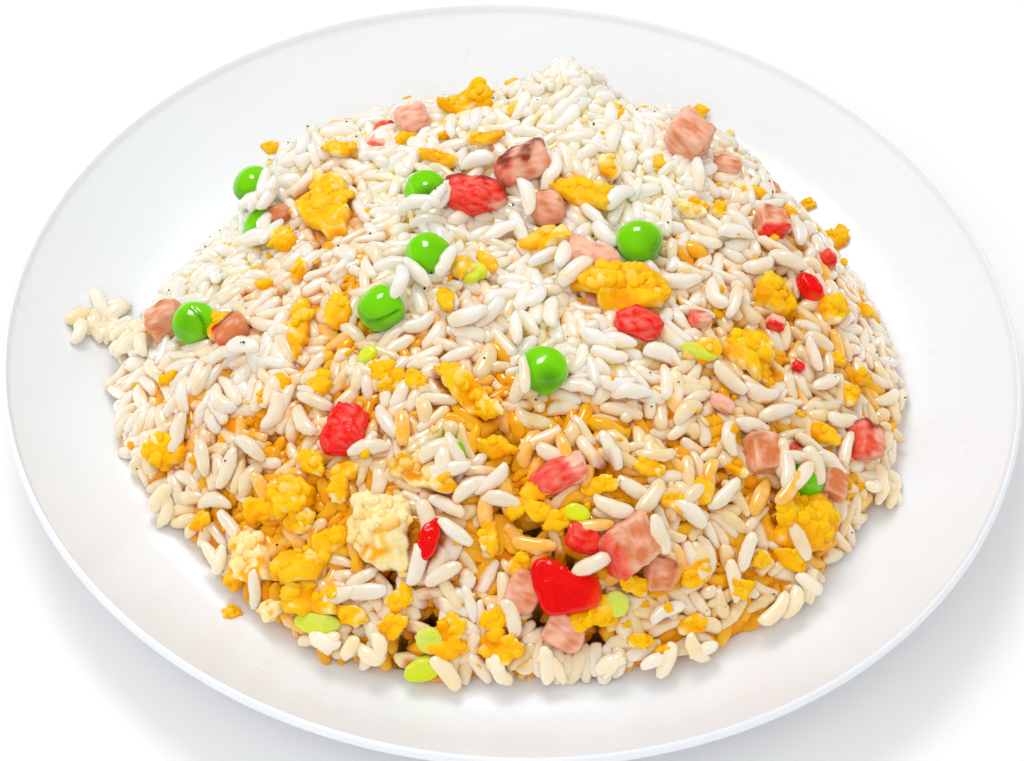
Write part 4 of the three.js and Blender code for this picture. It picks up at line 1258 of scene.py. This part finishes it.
class FRIEDRICE_OT_plate(Operator):
    """Make the white porcelain plate"""

    bl_idname = "fried_rice.plate"
    bl_label = "Plate"

    def execute(self, context):
        """Turns the section about the plate's axis."""
        around = round_angles(PLATE_SIDES)
        radius, height = plate_section().T[:, :, None]
        body = np.stack([radius * np.cos(around), radius * np.sin(around), height + 0 * around], -1)
        poles = [[0, 0, FLOOR_HEIGHT], [0, 0, FOOT_HEIGHT]]
        points = np.concatenate([body.reshape(-1, 3), poles])[None]
        glaze = tuple(context.scene.fried_rice.stage.porcelain)
        shapes = [(points, np.array(glaze), PLATE_SIDES)]
        make_piece("plate_glazed", shapes, porcelain_material(glaze), ["plate"])
        return {"FINISHED"}


def stain_and_shade(x, y):
    """How yellow the rice is under its top grains: bell-shaped zones over a ground that is stronger at
    the front and, as painted shade, towards the right, in patches."""
    plan = np.stack([x, y], -1)
    # The term in x is painted shade on the heap's right side, away from the key light; the rest is stains
    share = 0.08 + 0.46 * smooth_step(-y, -40, 30) + 0.5 * smooth_step(x, 20, 66)
    share = share + 0.1 * ripples(plan, 24.0, STAIN_SEED)
    for place, (_point, spread, strength) in zip(yolk_places(), YOLK_ZONES):
        share = share + strength * bell(plan, place, spread)
    return share


def gap_share(x, y):
    """1 in the middle of a dark gap, falling to 0 within a grain's width of it."""
    plan = np.stack([x, y], -1)
    share = np.zeros(np.shape(x))
    for place in sighted(DARK_GAPS, np.full(len(DARK_GAPS), -2.0)):
        share = np.maximum(share, bell(plan, place[:2], GAP_RADIUS * 0.8))
    return share


def core_points():
    """The heap's core: its skin lowered by the core's depth, and more in dark gaps, drawn in from the
    foot, with grain-sized bumps, on a flat underside."""
    rings, sides = CORE_GRID
    share = np.linspace(0, 1, rings + 1)[1:] ** 0.75
    share, around = np.meshgrid(share, round_angles(sides), indexing="ij")
    radius = share * (foot_radius(around) - 3.0)
    x, y = radius * np.cos(around), radius * np.sin(around)
    plan = np.stack([x, y], -1)
    bumps = 0.7 * np.abs(ripples(plan, 6.4, CORE_SEED)) + 0.45 * np.abs(ripples(plan, 4.2, CORE_SEED + 1))
    lowered = skin_height(x, y) - CORE_DEPTH + bumps - 4.5 * gap_share(x, y)
    base = plate_top(radius) + 0.5
    z = np.maximum(lowered, base)
    z[-1] = base[-1]
    crown = skin_height(np.zeros(1), np.zeros(1))[0] - CORE_DEPTH
    poles = [[0, 0, crown], [0, 0, FLOOR_HEIGHT + 0.4]]
    return np.concatenate([np.stack([x, y, z], -1).reshape(-1, 3), poles])[None]


def core_shape(rice):
    """The core with its tint: white to cream and deep by the ground's stains and painted shade, and
    painted shade, nearly black, in the dark gaps.
    """
    core = core_points()
    patch = stain_and_shade(core[..., 0], core[..., 1])
    tint = blend_tints(rice.white, rice.cream, 3.0 * patch)
    tint = toward(tint, rice.deep, smooth_step(patch, 0.2, 0.75))
    tint = toward(tint, rice.dark, np.minimum(1, 1.6 * gap_share(core[..., 0], core[..., 1])))
    return core, tint, CORE_GRID[1]


class FRIEDRICE_OT_rice(Operator):
    """Make the heap of rice, grain by grain"""

    bl_idname = "fried_rice.rice"
    bl_label = "Rice"

    def execute(self, context):
        """Sorts the settled grains by depth and stained ground into white, cream and golden ones, over a
        core, and paints shade into the seams where they shut each other in.
        """
        rice = context.scene.fried_rice.rice
        middle, along, length, width, depth = settled_grains()
        count = len(depth)
        rng = np.random.default_rng(GRAIN_SEED + 1)
        points = grain_points(middle, along, length, width, rng)
        over = points[..., 2].max(1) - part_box("rice_heap")[1].z / MM
        points[..., 2] -= np.maximum(0, over)[:, None]
        shut = grains_shut_in(points, middle, along, length, width)
        # How stained each grain's ground is, with the painted shade of the heap's right side in it
        stained = stain_and_shade(middle[:, 0], middle[:, 1])
        patch = stain_and_shade(points[..., 0], points[..., 1])
        gap = gap_share(points[..., 0], points[..., 1])
        crest = smooth_step(relief(middle[:, 0], middle[:, 1]), -1.4, 0.9)
        sunk = smooth_step(depth, 1.2, 4.2)

        # Painted shade where grains shut each other in: golden on stained rice, deepest in tight spots
        # and dark gaps, less on crests
        seam = blend_tints(rice.seam, rice.gold_seam_shade, smooth_step(patch, 0.1, 0.55))
        seam = toward(seam, rice.deep_seam_shade, smooth_step(shut, 0.6, 1.0) * smooth_step(patch, 0.2, 0.7))
        seam = toward(seam, rice.deep_seam_shade, smooth_step(gap, 0.2, 0.7))
        seam_shade_share = smooth_step(np.maximum(shut - 0.28 * crest[:, None], 0.8 * gap), 0.22, 0.82)

        buried = sunk + 0.3 * stained - 0.3 * crest + 0.14 * rng.normal(size=count)
        yellow = stained * (0.26 + 0.8 * sunk - 0.25 * crest) + 0.1 * rng.normal(size=count)
        golden = (yellow > np.quantile(yellow, 1 - GOLDEN_SHARE)) & (depth != SHOWN_DEPTH)
        white = ~golden & (buried < np.quantile(buried[~golden], WHITE_SHARE))
        cream = ~white & ~golden

        # Random tone per grain, times painted shade: a little darker over the stained ground at the front
        # and right
        shade = rng.uniform(0.95, 1.0, (count, 1)) * (1 - 0.05 * np.clip(stained, 0, 1))[:, None]
        warmth = 0.2 * rng.uniform(size=count)
        patchy = (0.26 + 0.7 * rng.uniform(size=count) ** 2) * np.where(depth == SHOWN_DEPTH, 0.35, 1)
        mottle = ripples(points, 5.0, MOTTLE_SEED)
        gilt = smooth_step(stained[:, None] + 0.2 * mottle, 0.3, 0.9)
        ivory = (rice.white, rice.cream)
        amber = (rice.golden, rice.deep)
        for name, finish, chosen, colours, share, uneven, gild in (
            ("rice_white", "rice", white, ivory, warmth + patchy * stained, 0.1, 0.12),
            ("rice_cream", "rice", cream, ivory, warmth + 0.25 * sunk + 1.1 * stained, 0.2, 0.85),
            ("rice_golden", "golden_rice", golden, amber, 2.6 * warmth + 0.4 * sunk, 0.4, 0),
        ):
            tint = blend_tints(*colours, share[:, None] + uneven * mottle) * shade[:, None]
            tint = toward(toward(tint, rice.golden, gild * gilt), seam, seam_shade_share)
            # The fourth value is one less the painted shade's share, so the coat is weaker in the shaded
            # seams
            tint = np.concatenate([tint, 1 - seam_shade_share[..., None]], -1)
            shapes = [(points[chosen], tint[chosen], GRAIN_GRID[1])]
            make_piece(name, shapes, food_material(finish), ["rice_heap"])
        make_piece("rice_core", [core_shape(rice)], food_material("deep_rice"), ["rice_heap"])
        return {"FINISHED"}


class FRIEDRICE_OT_plate_grains(Operator):
    """Make the grains that lie apart on the plate"""

    bl_idname = "fried_rice.plate_grains"
    bl_label = "Grains on the plate"

    def execute(self, context):
        """Draws grains round each patch's picture point and lays them flat on what is under them."""
        rice = context.scene.fried_rice.rice
        rng = np.random.default_rng(GRAIN_SEED + 2)
        patches = []
        for point, spread, count in PLATE_GRAINS:
            patches.append(np.array(point) + rng.uniform(-1, 1, (count, 2)) * spread)
        pixels = np.concatenate(patches)
        width = (rice.grain_width / MM) * rng.uniform(0.85, 1.1, len(pixels))
        length = (rice.grain_length / MM) * rng.uniform(0.7, 1.1, len(pixels))
        middle = sighted(pixels, 0.5 * width)
        along = unit(less_along(rng.normal(size=middle.shape), surface_normal(middle)))
        points = grain_points(middle, along, length, width, rng)
        tint = blend_tints(rice.white, rice.cream, rng.uniform(0.3, 0.9, len(pixels)))[:, None]
        make_piece("rice_on_plate", [(points, tint, GRAIN_GRID[1])], food_material("rice"))
        return {"FINISHED"}


def pea_creases(ball, axes):
    """How deep each point of each pea lies in a crease of its skin: a narrow bell across part of a great
    circle, which crosses the picture at the row's angle and passes beside the pea's middle."""
    ahead, right, up = sight_axes()
    depth = np.zeros((len(axes), len(ball)))
    for number, angle, beside in PEA_CREASES:
        line = math.cos(math.radians(angle)) * right + math.sin(math.radians(angle)) * up
        middle = unit(-ahead + beside * np.cross(line, ahead))
        ways = ball @ axes[number].T
        across = ways @ np.cross(line, middle) - 0.12 * (ways @ line) ** 2
        part = smooth_step(ways @ middle, 0.55, 0.8)
        depth[number] = part * np.exp(-(across**2) / (2 * PEA_CREASE_WIDTH**2))
    return depth


class FRIEDRICE_OT_peas(Operator):
    """Make the peas"""

    bl_idname = "fried_rice.peas"
    bl_label = "Peas"

    def execute(self, context):
        """Balls a little flat along their own z, with a shallow dimple and soft dents."""
        colours = context.scene.fried_rice.toppings
        middles, axes, sizes, _tones = topping_rows(PEAS)
        count = len(PEAS)
        ball = shell_directions(*PEA_GRID)
        dents = 0.12 * ripples(ball[None] * 2.0 + shifts(count, 9), 2.4, PEA_SEED + 1)
        pole = unit(np.random.default_rng(PEA_SEED).normal(size=(count, 1, 3)))
        dimple = 0.35 * np.exp(-((1 - (ball[None] * pole).sum(-1)) / 0.05))
        crease = pea_creases(ball, axes)
        reach = sizes[:, :1] / 2 + dents - dimple - 0.45 * crease
        local = ball[None] * reach[..., None] * (1, 1, 0.95)
        patches = 0.3 * ripples(ball[None] + shifts(count, 5), 1.6, PEA_SEED + 2)
        # Painted light and shade: lighter towards the sky, darker away from it, with random patches;
        # creases painted dark
        tint = blend_tints(colours.pea, colours.pea_painted_shade, 0.45 - 0.75 * skylight(axes, ball) + patches)
        tint = toward(tint, colours.pea_crease_shade, 0.75 * crease)
        shapes = [(in_place(local, middles, axes), tint, PEA_GRID[1])]
        make_piece("peas", shapes, food_material("pea_skin"), numbered("pea", PEAS))
        return {"FINISHED"}


def far_side(count, smallest, largest, seed):
    """Places on upper grains of the side that faces away, drawn at random, as topping rows give them."""
    middle, _along, _length, _width, depth = settled_grains()
    rng = np.random.default_rng(seed)
    hosts = (middle[:, 1] > FAR_SIDE) & (middle[:, 2] < FAR_SIDE_TOP) & (depth < 2.0)
    places = middle[rng.choice(np.flatnonzero(hosts), count, replace=False)]
    axes = turned_axes(places, rng.uniform(0, 360, count), np.zeros(count))
    return places, axes, rng.uniform(smallest, largest, (count, 3)), rng


def ham_shape(placed, seed, grid, colours):
    """Uneven dice. A row's looks are how red it is, which comes in from its left end, how browned its far
    edge is, how tan the rest is, and how square it is. Fibres run along it, as stretched ripples."""
    middles, axes, sizes, looks = placed
    red_share, brown_share, tan_share, squareness = looks.T[:, :, None]
    local = block_points(sizes, squareness[:, 0], 0.5, 6.0, grid, seed)
    share = local / sizes[:, None, :] * 2
    shift = shifts(len(sizes), 31.0)
    patch = ripples(local + shift, 4.5, seed + 1)
    fibre = ripples(local * (0.5, 1.6, 1.6) + shift, 1.9, seed + 2)
    local = local * (1 + (0.012 + 0.03 * red_share)[..., None] * fibre[..., None])
    crisp = smooth_step(squareness, 4.5, 7.0)
    facet = share / np.abs(share).max(-1, keepdims=True)
    side = -share[..., 0] + 0.3 * share[..., 2] + 0.22 * patch + 0.08 * fibre
    red = smooth_step(side, 1.0 - 2.5 * red_share, 1.35 - 2.5 * red_share) * (red_share > 0)
    faced = smooth_step(-facet[..., 1] + 0.06 * patch, 0.6, 0.78)
    rim = smooth_step(np.sort(np.abs(facet), -1)[..., 1], 0.7, 0.95) * crisp
    red = red + (faced * (red_share > 0.2) - red) * crisp
    far = share[..., 1] + 0.35 * share[..., 2] + 0.2 * patch + 0.12 * fibre
    crust = smooth_step(far, 1.35 - 0.9 * brown_share, 1.7 - 0.9 * brown_share) * (brown_share > 0)
    tint = blend_tints(colours.ham, colours.ham_tan, tan_share + 0.16 * patch + 0.22 * fibre)
    tint = toward(tint, colours.ham_rim, 0.55 * rim)
    tint = toward(tint, colours.ham_red, red * (0.5 + 0.48 * red_share + 0.1 * fibre))
    tint = toward(tint, colours.ham_crust, 0.85 * crust)
    return in_place(local, middles, axes), np.clip(tint, 0, 1), grid[1]


class FRIEDRICE_OT_ham(Operator):
    """Make the diced ham"""

    bl_idname = "fried_rice.ham"
    bl_label = "Ham"

    def execute(self, context):
        """Dice for the frame's nodes, and smaller bits among the grains."""
        colours = context.scene.fried_rice.toppings
        material = food_material("ham_meat")
        dice = [ham_shape(topping_rows(HAM), HAM_SEED, HAM_GRID, colours)]
        make_piece("ham_dice", dice, material, numbered("ham", HAM))
        *placed, rng = far_side(FAR_HAM_COUNT, (3, 2.6, 2.4), (6, 5, 4), FAR_HAM_SEED)
        placed.append(rng.uniform((0, 0, 0, 4), (0.7, 0.5, 0.8, 7), (FAR_HAM_COUNT, 4)))
        bits = [
            ham_shape(topping_rows(SMALL_HAM), HAM_BIT_SEED, HAM_BIT_GRID, colours),
            ham_shape(placed, FAR_HAM_SEED + 1, HAM_BIT_GRID, colours),
        ]
        make_piece("ham_bits", bits, material)
        return {"FINISHED"}


class FRIEDRICE_OT_red_pepper(Operator):
    """Make the red pepper pieces"""

    bl_idname = "fried_rice.red_pepper"
    bl_label = "Red pepper"

    def execute(self, context):
        """Thick smooth scraps, more orange towards their cut edges."""
        colours = context.scene.fried_rice.toppings
        middles, axes, sizes, _tones = topping_rows(RED_PEPPER)
        sides = PEPPER_GRID[1]
        outline = torn_outlines(len(RED_PEPPER), 0.1, sides, PEPPER_SEED)
        outline[0] = outline_radii(sides, RED_PEPPER[0][2], PEPPER_OUTLINE)
        local = scrap_points(sizes, 4.5, 0.45, 0.08, PEPPER_GRID, PEPPER_SEED + 1, outline)
        across = local[..., 0] / sizes[:, 0, None] * 2
        edge = smooth_step(plan_share(local, sizes) + 0.3 * across, 0.95, 1.35) * 0.7
        tint = blend_tints(colours.pepper, colours.pepper_edge, edge)
        shapes = [(in_place(local, middles, axes), tint, sides)]
        nodes = numbered("red_pepper", RED_PEPPER)
        make_piece("red_pepper", shapes, food_material("pepper_skin"), nodes)
        return {"FINISHED"}


def froth_lumps(placed, seed, colours):
    """Round lumps over torn scraps, more of them on a larger one: rippled balls, a little flat, drawn at
    random inside its ellipse and set at the height of its fold."""
    middles, axes, sizes, tones = placed
    rng = np.random.default_rng(seed + 20)
    counts = np.maximum(2, sizes[:, 0] * sizes[:, 1] / LUMP_AREA).astype(int)
    owner = np.repeat(np.arange(len(sizes)), counts)
    middles, axes, sizes, tones = middles[owner], axes[owner], sizes[owner], tones[owner, None]
    count = len(owner)
    around = np.pi * rng.uniform(-0.15, 1.15, count)
    share = 0.88 * np.sqrt(rng.uniform(0, 1, count))
    plan = np.stack([share * np.cos(around), share * np.sin(around)], -1) * sizes[:, :2] / 2
    lift = fold_height(plan[:, None], sizes, EGG_FOLD, seed, SCRAP_SHIFT * owner[:, None, None])[:, 0]
    radius = rng.uniform(*LUMP_RADIUS, (count, 1)) * np.minimum(1, sizes[:, 2:] / 4) * (1, 0.9, 0.55)
    ball = shell_directions(*LUMP_GRID)
    uneven = 1 + 0.2 * ripples(ball[None] + shifts(count, 19.0), 1.5, seed + 21)
    local = ball[None] * uneven[..., None] * radius[:, None]
    local[..., :2] += plan[:, None]
    rise = (sizes[:, 2] / 2) * (1 - share**3) ** 0.4
    local[..., 2] += (lift + rise - 0.62 * radius[:, 2])[:, None]
    broad = rng.normal(size=(count, 1))
    # Painted light and shade: yellow and pale towards the sky, deep yolk on the under side
    facing = skylight(axes, ball)
    tint = blend_tints(colours.egg_yolk_and_shade, colours.egg, 0.75 + 0.5 * facing + 0.15 * broad)
    pale = smooth_step(1.4 * tones + 0.2 * broad + 0.4 * facing, 0.4, 1.5)
    return in_place(local, middles, axes), toward(tint, colours.egg_pale_and_light, pale), LUMP_GRID[1]


def egg_shapes(placed, seed, grid, froth, colours, first_outline=None):
    """Torn wavy scraps of egg and the lumps on them. The tint is painted shade and light: yolk low down
    and in the creases, yellow on top. It goes to pale curd by the row's tone, and a little paler at the
    upper torn edge."""
    middles, axes, sizes, tones = placed
    sides = grid[1]
    outline = torn_outlines(len(sizes), 0.3, sides, seed)
    if first_outline is not None:
        outline[0] = 0.4 * outline[0] + 0.6 * first_outline
    local = scrap_points(sizes * (1, 1, 0.8), 5.0, EGG_FOLD, froth, grid, seed, outline)
    shift = shifts(len(sizes), 23.0)
    broad = ripples(local + shift, 6.0, seed + 8)
    fine = ripples(local + shift, 2.2, seed + 9)
    height = local[..., 2] / sizes[:, 2, None]
    tint = blend_tints(colours.egg_yolk_and_shade, colours.egg, 0.45 + 0.8 * height + 0.25 * broad)
    rim = 0.35 * smooth_step(plan_share(local, sizes), 0.75, 1.1) * (height > -0.2)
    pale = smooth_step(1.5 * tones[:, None] + 0.3 * broad + 0.25 * fine + rim, 0.5, 1.2)
    scraps = in_place(local, middles, axes), toward(tint, colours.egg_pale_and_light, pale), sides
    return [scraps, froth_lumps(placed, seed, colours)]


def egg_crumbs(colours):
    """Crumbs on upper grains drawn at random, more of them where the rice is stained."""
    middle, _along, _length, _width, depth = settled_grains()
    rng = np.random.default_rng(CRUMB_SEED)
    weight = (depth < 4.0) * (0.16 + stain_and_shade(middle[:, 0], middle[:, 1])).clip(0.05, 1)
    near = rng.choice(len(depth), CRUMB_COUNT, p=weight / weight.sum())
    places = middle[near] + rng.normal(0, 0.9, (CRUMB_COUNT, 3))
    sizes = rng.uniform(0.8, 2.6, (CRUMB_COUNT, 3)) * (1.2, 1.0, 0.6)
    axes = turned_axes(places, rng.uniform(0, 360, CRUMB_COUNT), rng.uniform(-50, 50, CRUMB_COUNT))
    local = block_points(sizes, 2.4, 0.35, 1.4, CRUMB_GRID, CRUMB_SEED + 1)
    tint = blend_tints(colours.egg, colours.egg_yolk_and_shade, rng.uniform(0, 0.7, (CRUMB_COUNT, 1)))
    tint = toward(tint, colours.egg_pale_and_light, (rng.uniform(size=(CRUMB_COUNT, 1)) < 0.2) * 0.7)
    return in_place(local, places, axes), tint, CRUMB_GRID[1]


class FRIEDRICE_OT_egg(Operator):
    """Make the scrambled egg"""

    bl_idname = "fried_rice.egg"
    bl_label = "Egg"

    def execute(self, context):
        """Scraps for the frame's nodes, smaller ones, and crumbs stuck between the grains."""
        colours = context.scene.fried_rice.toppings
        material = food_material("egg_curd")
        first = outline_radii(EGG_GRID[1], EGG[0][2], EGG_OUTLINE)
        scraps = egg_shapes(topping_rows(EGG), EGG_SEED, EGG_GRID, 0.34, colours, first)
        make_piece("egg_scraps", scraps, material, numbered("egg", EGG))
        *placed, rng = far_side(FAR_EGG_COUNT, (3.4, 2.6, 2.2), (10, 6, 3.2), FAR_EGG_SEED)
        placed.append(rng.uniform(0, 0.5, FAR_EGG_COUNT))
        bits = egg_shapes(topping_rows(SMALL_EGG), EGG_BIT_SEED, EGG_BIT_GRID, 0.26, colours)
        bits += egg_shapes(placed, FAR_EGG_SEED + 1, EGG_BIT_GRID, 0.26, colours)
        make_piece("egg_bits", bits, material)
        make_piece("egg_crumbs", [egg_crumbs(colours)], material)
        return {"FINISHED"}


def onion_shape(rows, seed, colours):
    """Thin slices of spring onion, ribbed along their length, from green to white by the row's tone."""
    middles, axes, sizes, tones = topping_rows(rows)
    sides = ONION_GRID[1]
    outline = torn_outlines(len(rows), 0.06, sides, seed)
    local = scrap_points(sizes, 4.0, 0.35, 0.06, ONION_GRID, seed, outline)
    ribs = 0.5 + 0.5 * np.sin(local[..., 1] * 5.0)
    local[..., 2] += 0.08 * ribs
    pale = tones[:, None] + 0.25 * ribs + 0.15 * ripples(local, 5.0, seed + 1)
    tint = blend_tints(colours.onion, colours.onion_pale, pale)
    return in_place(local, middles, axes), tint, sides


class FRIEDRICE_OT_spring_onion(Operator):
    """Make the spring onion"""

    bl_idname = "fried_rice.spring_onion"
    bl_label = "Spring onion"

    def execute(self, context):
        """Slices for the frame's nodes, and small green bits among the grains."""
        colours = context.scene.fried_rice.toppings
        material = food_material("onion_flesh")
        slices = [onion_shape(SPRING_ONION, ONION_SEED, colours)]
        nodes = numbered("spring_onion", SPRING_ONION)
        make_piece("spring_onion", slices, material, nodes)
        bits = [onion_shape(SMALL_GREEN, GREEN_BIT_SEED, colours)]
        make_piece("green_bits", bits, material)
        return {"FINISHED"}


class FRIEDRICE_OT_specks(Operator):
    """Make the specks of ground black pepper"""

    bl_idname = "fried_rice.specks"
    bl_label = "Pepper specks"

    def execute(self, context):
        """Small uneven grits set into the upper side of top grains drawn at random."""
        colours = context.scene.fried_rice.toppings
        middle, along, _length, width, depth = settled_grains()
        rng = np.random.default_rng(SPECK_SEED)
        host = rng.choice(np.flatnonzero(depth < 2.2), SPECK_COUNT)
        up = unit(less_along(surface_normal(middle[host]), along[host]))
        run = rng.uniform(-1.6, 1.6, (SPECK_COUNT, 1)) * along[host]
        places = middle[host] + up * (width[host] * 0.43)[:, None] + run
        sizes = rng.uniform(0.25, 0.62, (SPECK_COUNT, 1)) * rng.uniform(0.6, 1.2, (SPECK_COUNT, 3))
        local = block_points(sizes, 2.0, 0.1, 0.5, SPECK_GRID, SPECK_SEED + 1)
        axes = turned_axes(places, rng.uniform(0, 360, SPECK_COUNT), rng.uniform(-40, 40, SPECK_COUNT))
        shapes = [(in_place(local, places, axes), np.array(colours.speck), SPECK_GRID[1])]
        make_piece("pepper_specks", shapes, food_material("pepper_grit"))
        return {"FINISHED"}


def add_softbox(name, place, size, power):
    """A square area light at a place, facing the heap."""
    light = bpy.data.lights.new(name, "AREA")
    light.size = size
    light.energy = power
    lamp = linked(name, light)
    back = unit(np.array(place) - LIGHT_AIM)
    side = unit(np.cross([0.0, 1.0, 0.0], back))
    lamp.matrix_world = placed_matrix(side, np.cross(back, side), back, place)
    return lamp


def placed_matrix(x_axis, y_axis, z_axis, place):
    """An object's matrix, from its three axes and its place."""
    rows = np.eye(4)
    rows[:3, 0], rows[:3, 1], rows[:3, 2], rows[:3, 3] = x_axis, y_axis, z_axis, place
    return Matrix(rows.tolist())


def add_floor(tint):
    """A plain square floor at the plate's foot."""
    mesh = bpy.data.meshes.new("floor")
    half = FLOOR_SIDE / 2
    corners = [(-half, -half, 0), (half, -half, 0), (half, half, 0), (-half, half, 0)]
    mesh.from_pydata(corners, [], [(0, 1, 2, 3)])
    paint, tree = new_material("floor_paint")
    fill_sockets(tree, tree.nodes["Principled BSDF"], {"Base Color": (*tint, 1), "Roughness": 0.8})
    mesh.materials.append(paint)
    return linked("floor", mesh)


def add_fill(strength, gloss):
    """Even white light from all round, of which reflections show only a share."""
    world = bpy.data.worlds.new("studio")
    world.use_nodes = True
    tree = world.node_tree
    glossy = add_node(tree, "LightPath").outputs["Is Glossy Ray"]
    sockets = {"Value": glossy, "To Min": strength, "To Max": strength * gloss}
    seen = add_node(tree, "MapRange", sockets).outputs["Result"]
    fill_sockets(tree, tree.nodes["Background"], {"Color": (1, 1, 1, 1), "Strength": seen})
    bpy.context.scene.world = world


def add_camera(lens):
    """The reference view: a camera on the sight line, with its roll."""
    ahead, right, up = sight_axes()
    roll_cos, roll_sin = math.cos(SIGHT_ROLL), math.sin(SIGHT_ROLL)
    view = bpy.data.cameras.new("view")
    view.lens = lens
    view.sensor_width = SENSOR_WIDTH
    view.clip_start = 0.01
    camera = linked("view", view)
    camera.matrix_world = placed_matrix(
        roll_cos * right + roll_sin * up,
        roll_cos * up - roll_sin * right,
        -ahead,
        (np.array(SIGHT_AIM) - SIGHT_DISTANCE * ahead) * MM,
    )
    bpy.context.scene.camera = camera


class FRIEDRICE_OT_stage(Operator):
    """Make the floor, the soft light and the camera"""

    bl_idname = "fried_rice.stage"
    bl_label = "Stage"

    def execute(self, context):
        """A flat floor, an even fill, a softbox overhead, a broad one over the camera that has no
        reflections, one that only has them, and the reference view."""
        settings = context.scene.fried_rice.stage
        context.scene.view_settings.view_transform = "Standard"
        add_floor(settings.floor)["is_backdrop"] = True
        add_fill(settings.fill, settings.gloss)
        add_softbox("softbox", (-0.2, 0.34, 0.92), 0.42, settings.key)
        front = add_softbox("front_softbox", (-0.25, -0.75, 0.9), 0.9, settings.front)
        front.visible_glossy = False
        glint = add_softbox("glint_softbox", (-0.21, 0.33, 0.9), 0.3, settings.glint)
        glint.visible_diffuse = False
        add_camera(settings.lens)
        return {"FINISHED"}


class FRIEDRICE_PT_panel(Panel):
    """Sidebar panel with the settings and the steps."""

    bl_idname = "FRIEDRICE_PT_panel"
    bl_label = "Plate of Fried Rice"
    bl_space_type = "VIEW_3D"
    bl_region_type = "UI"
    bl_category = "Fried Rice"

    def draw(self, context):
        settings = context.scene.fried_rice
        groups = (("Rice", settings.rice), ("Toppings", settings.toppings), ("Stage", settings.stage))
        for title, group in groups:
            box = self.layout.box()
            box.label(text=title)
            for name in group.__annotations__:
                box.prop(group, name)
        for step in STEPS:
            self.layout.operator(step.bl_idname)


STEPS = (
    FRIEDRICE_OT_stage, FRIEDRICE_OT_plate, FRIEDRICE_OT_rice, FRIEDRICE_OT_plate_grains,
    FRIEDRICE_OT_peas, FRIEDRICE_OT_ham, FRIEDRICE_OT_red_pepper, FRIEDRICE_OT_egg,
    FRIEDRICE_OT_spring_onion, FRIEDRICE_OT_specks,
)
CLASSES = (RiceSettings, ToppingSettings, StageSettings, FriedRiceSettings, *STEPS, FRIEDRICE_PT_panel)


def register():
    for cls in CLASSES:
        bpy.utils.register_class(cls)
    bpy.types.Scene.fried_rice = PointerProperty(type=FriedRiceSettings)


def unregister():
    del bpy.types.Scene.fried_rice
    for cls in reversed(CLASSES):
        bpy.utils.unregister_class(cls)


def main():
    """Makes every piece in order."""
    cad_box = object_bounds()
    register()
    for step in STEPS:
        group, name = step.bl_idname.split(".")
        getattr(getattr(bpy.ops, group), name)()
    boxes = {"cad": cad_box, "visual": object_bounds()}
    {key: [list(corner) for corner in box] for key, box in boxes.items()}


if __name__ == "__main__":
    main()
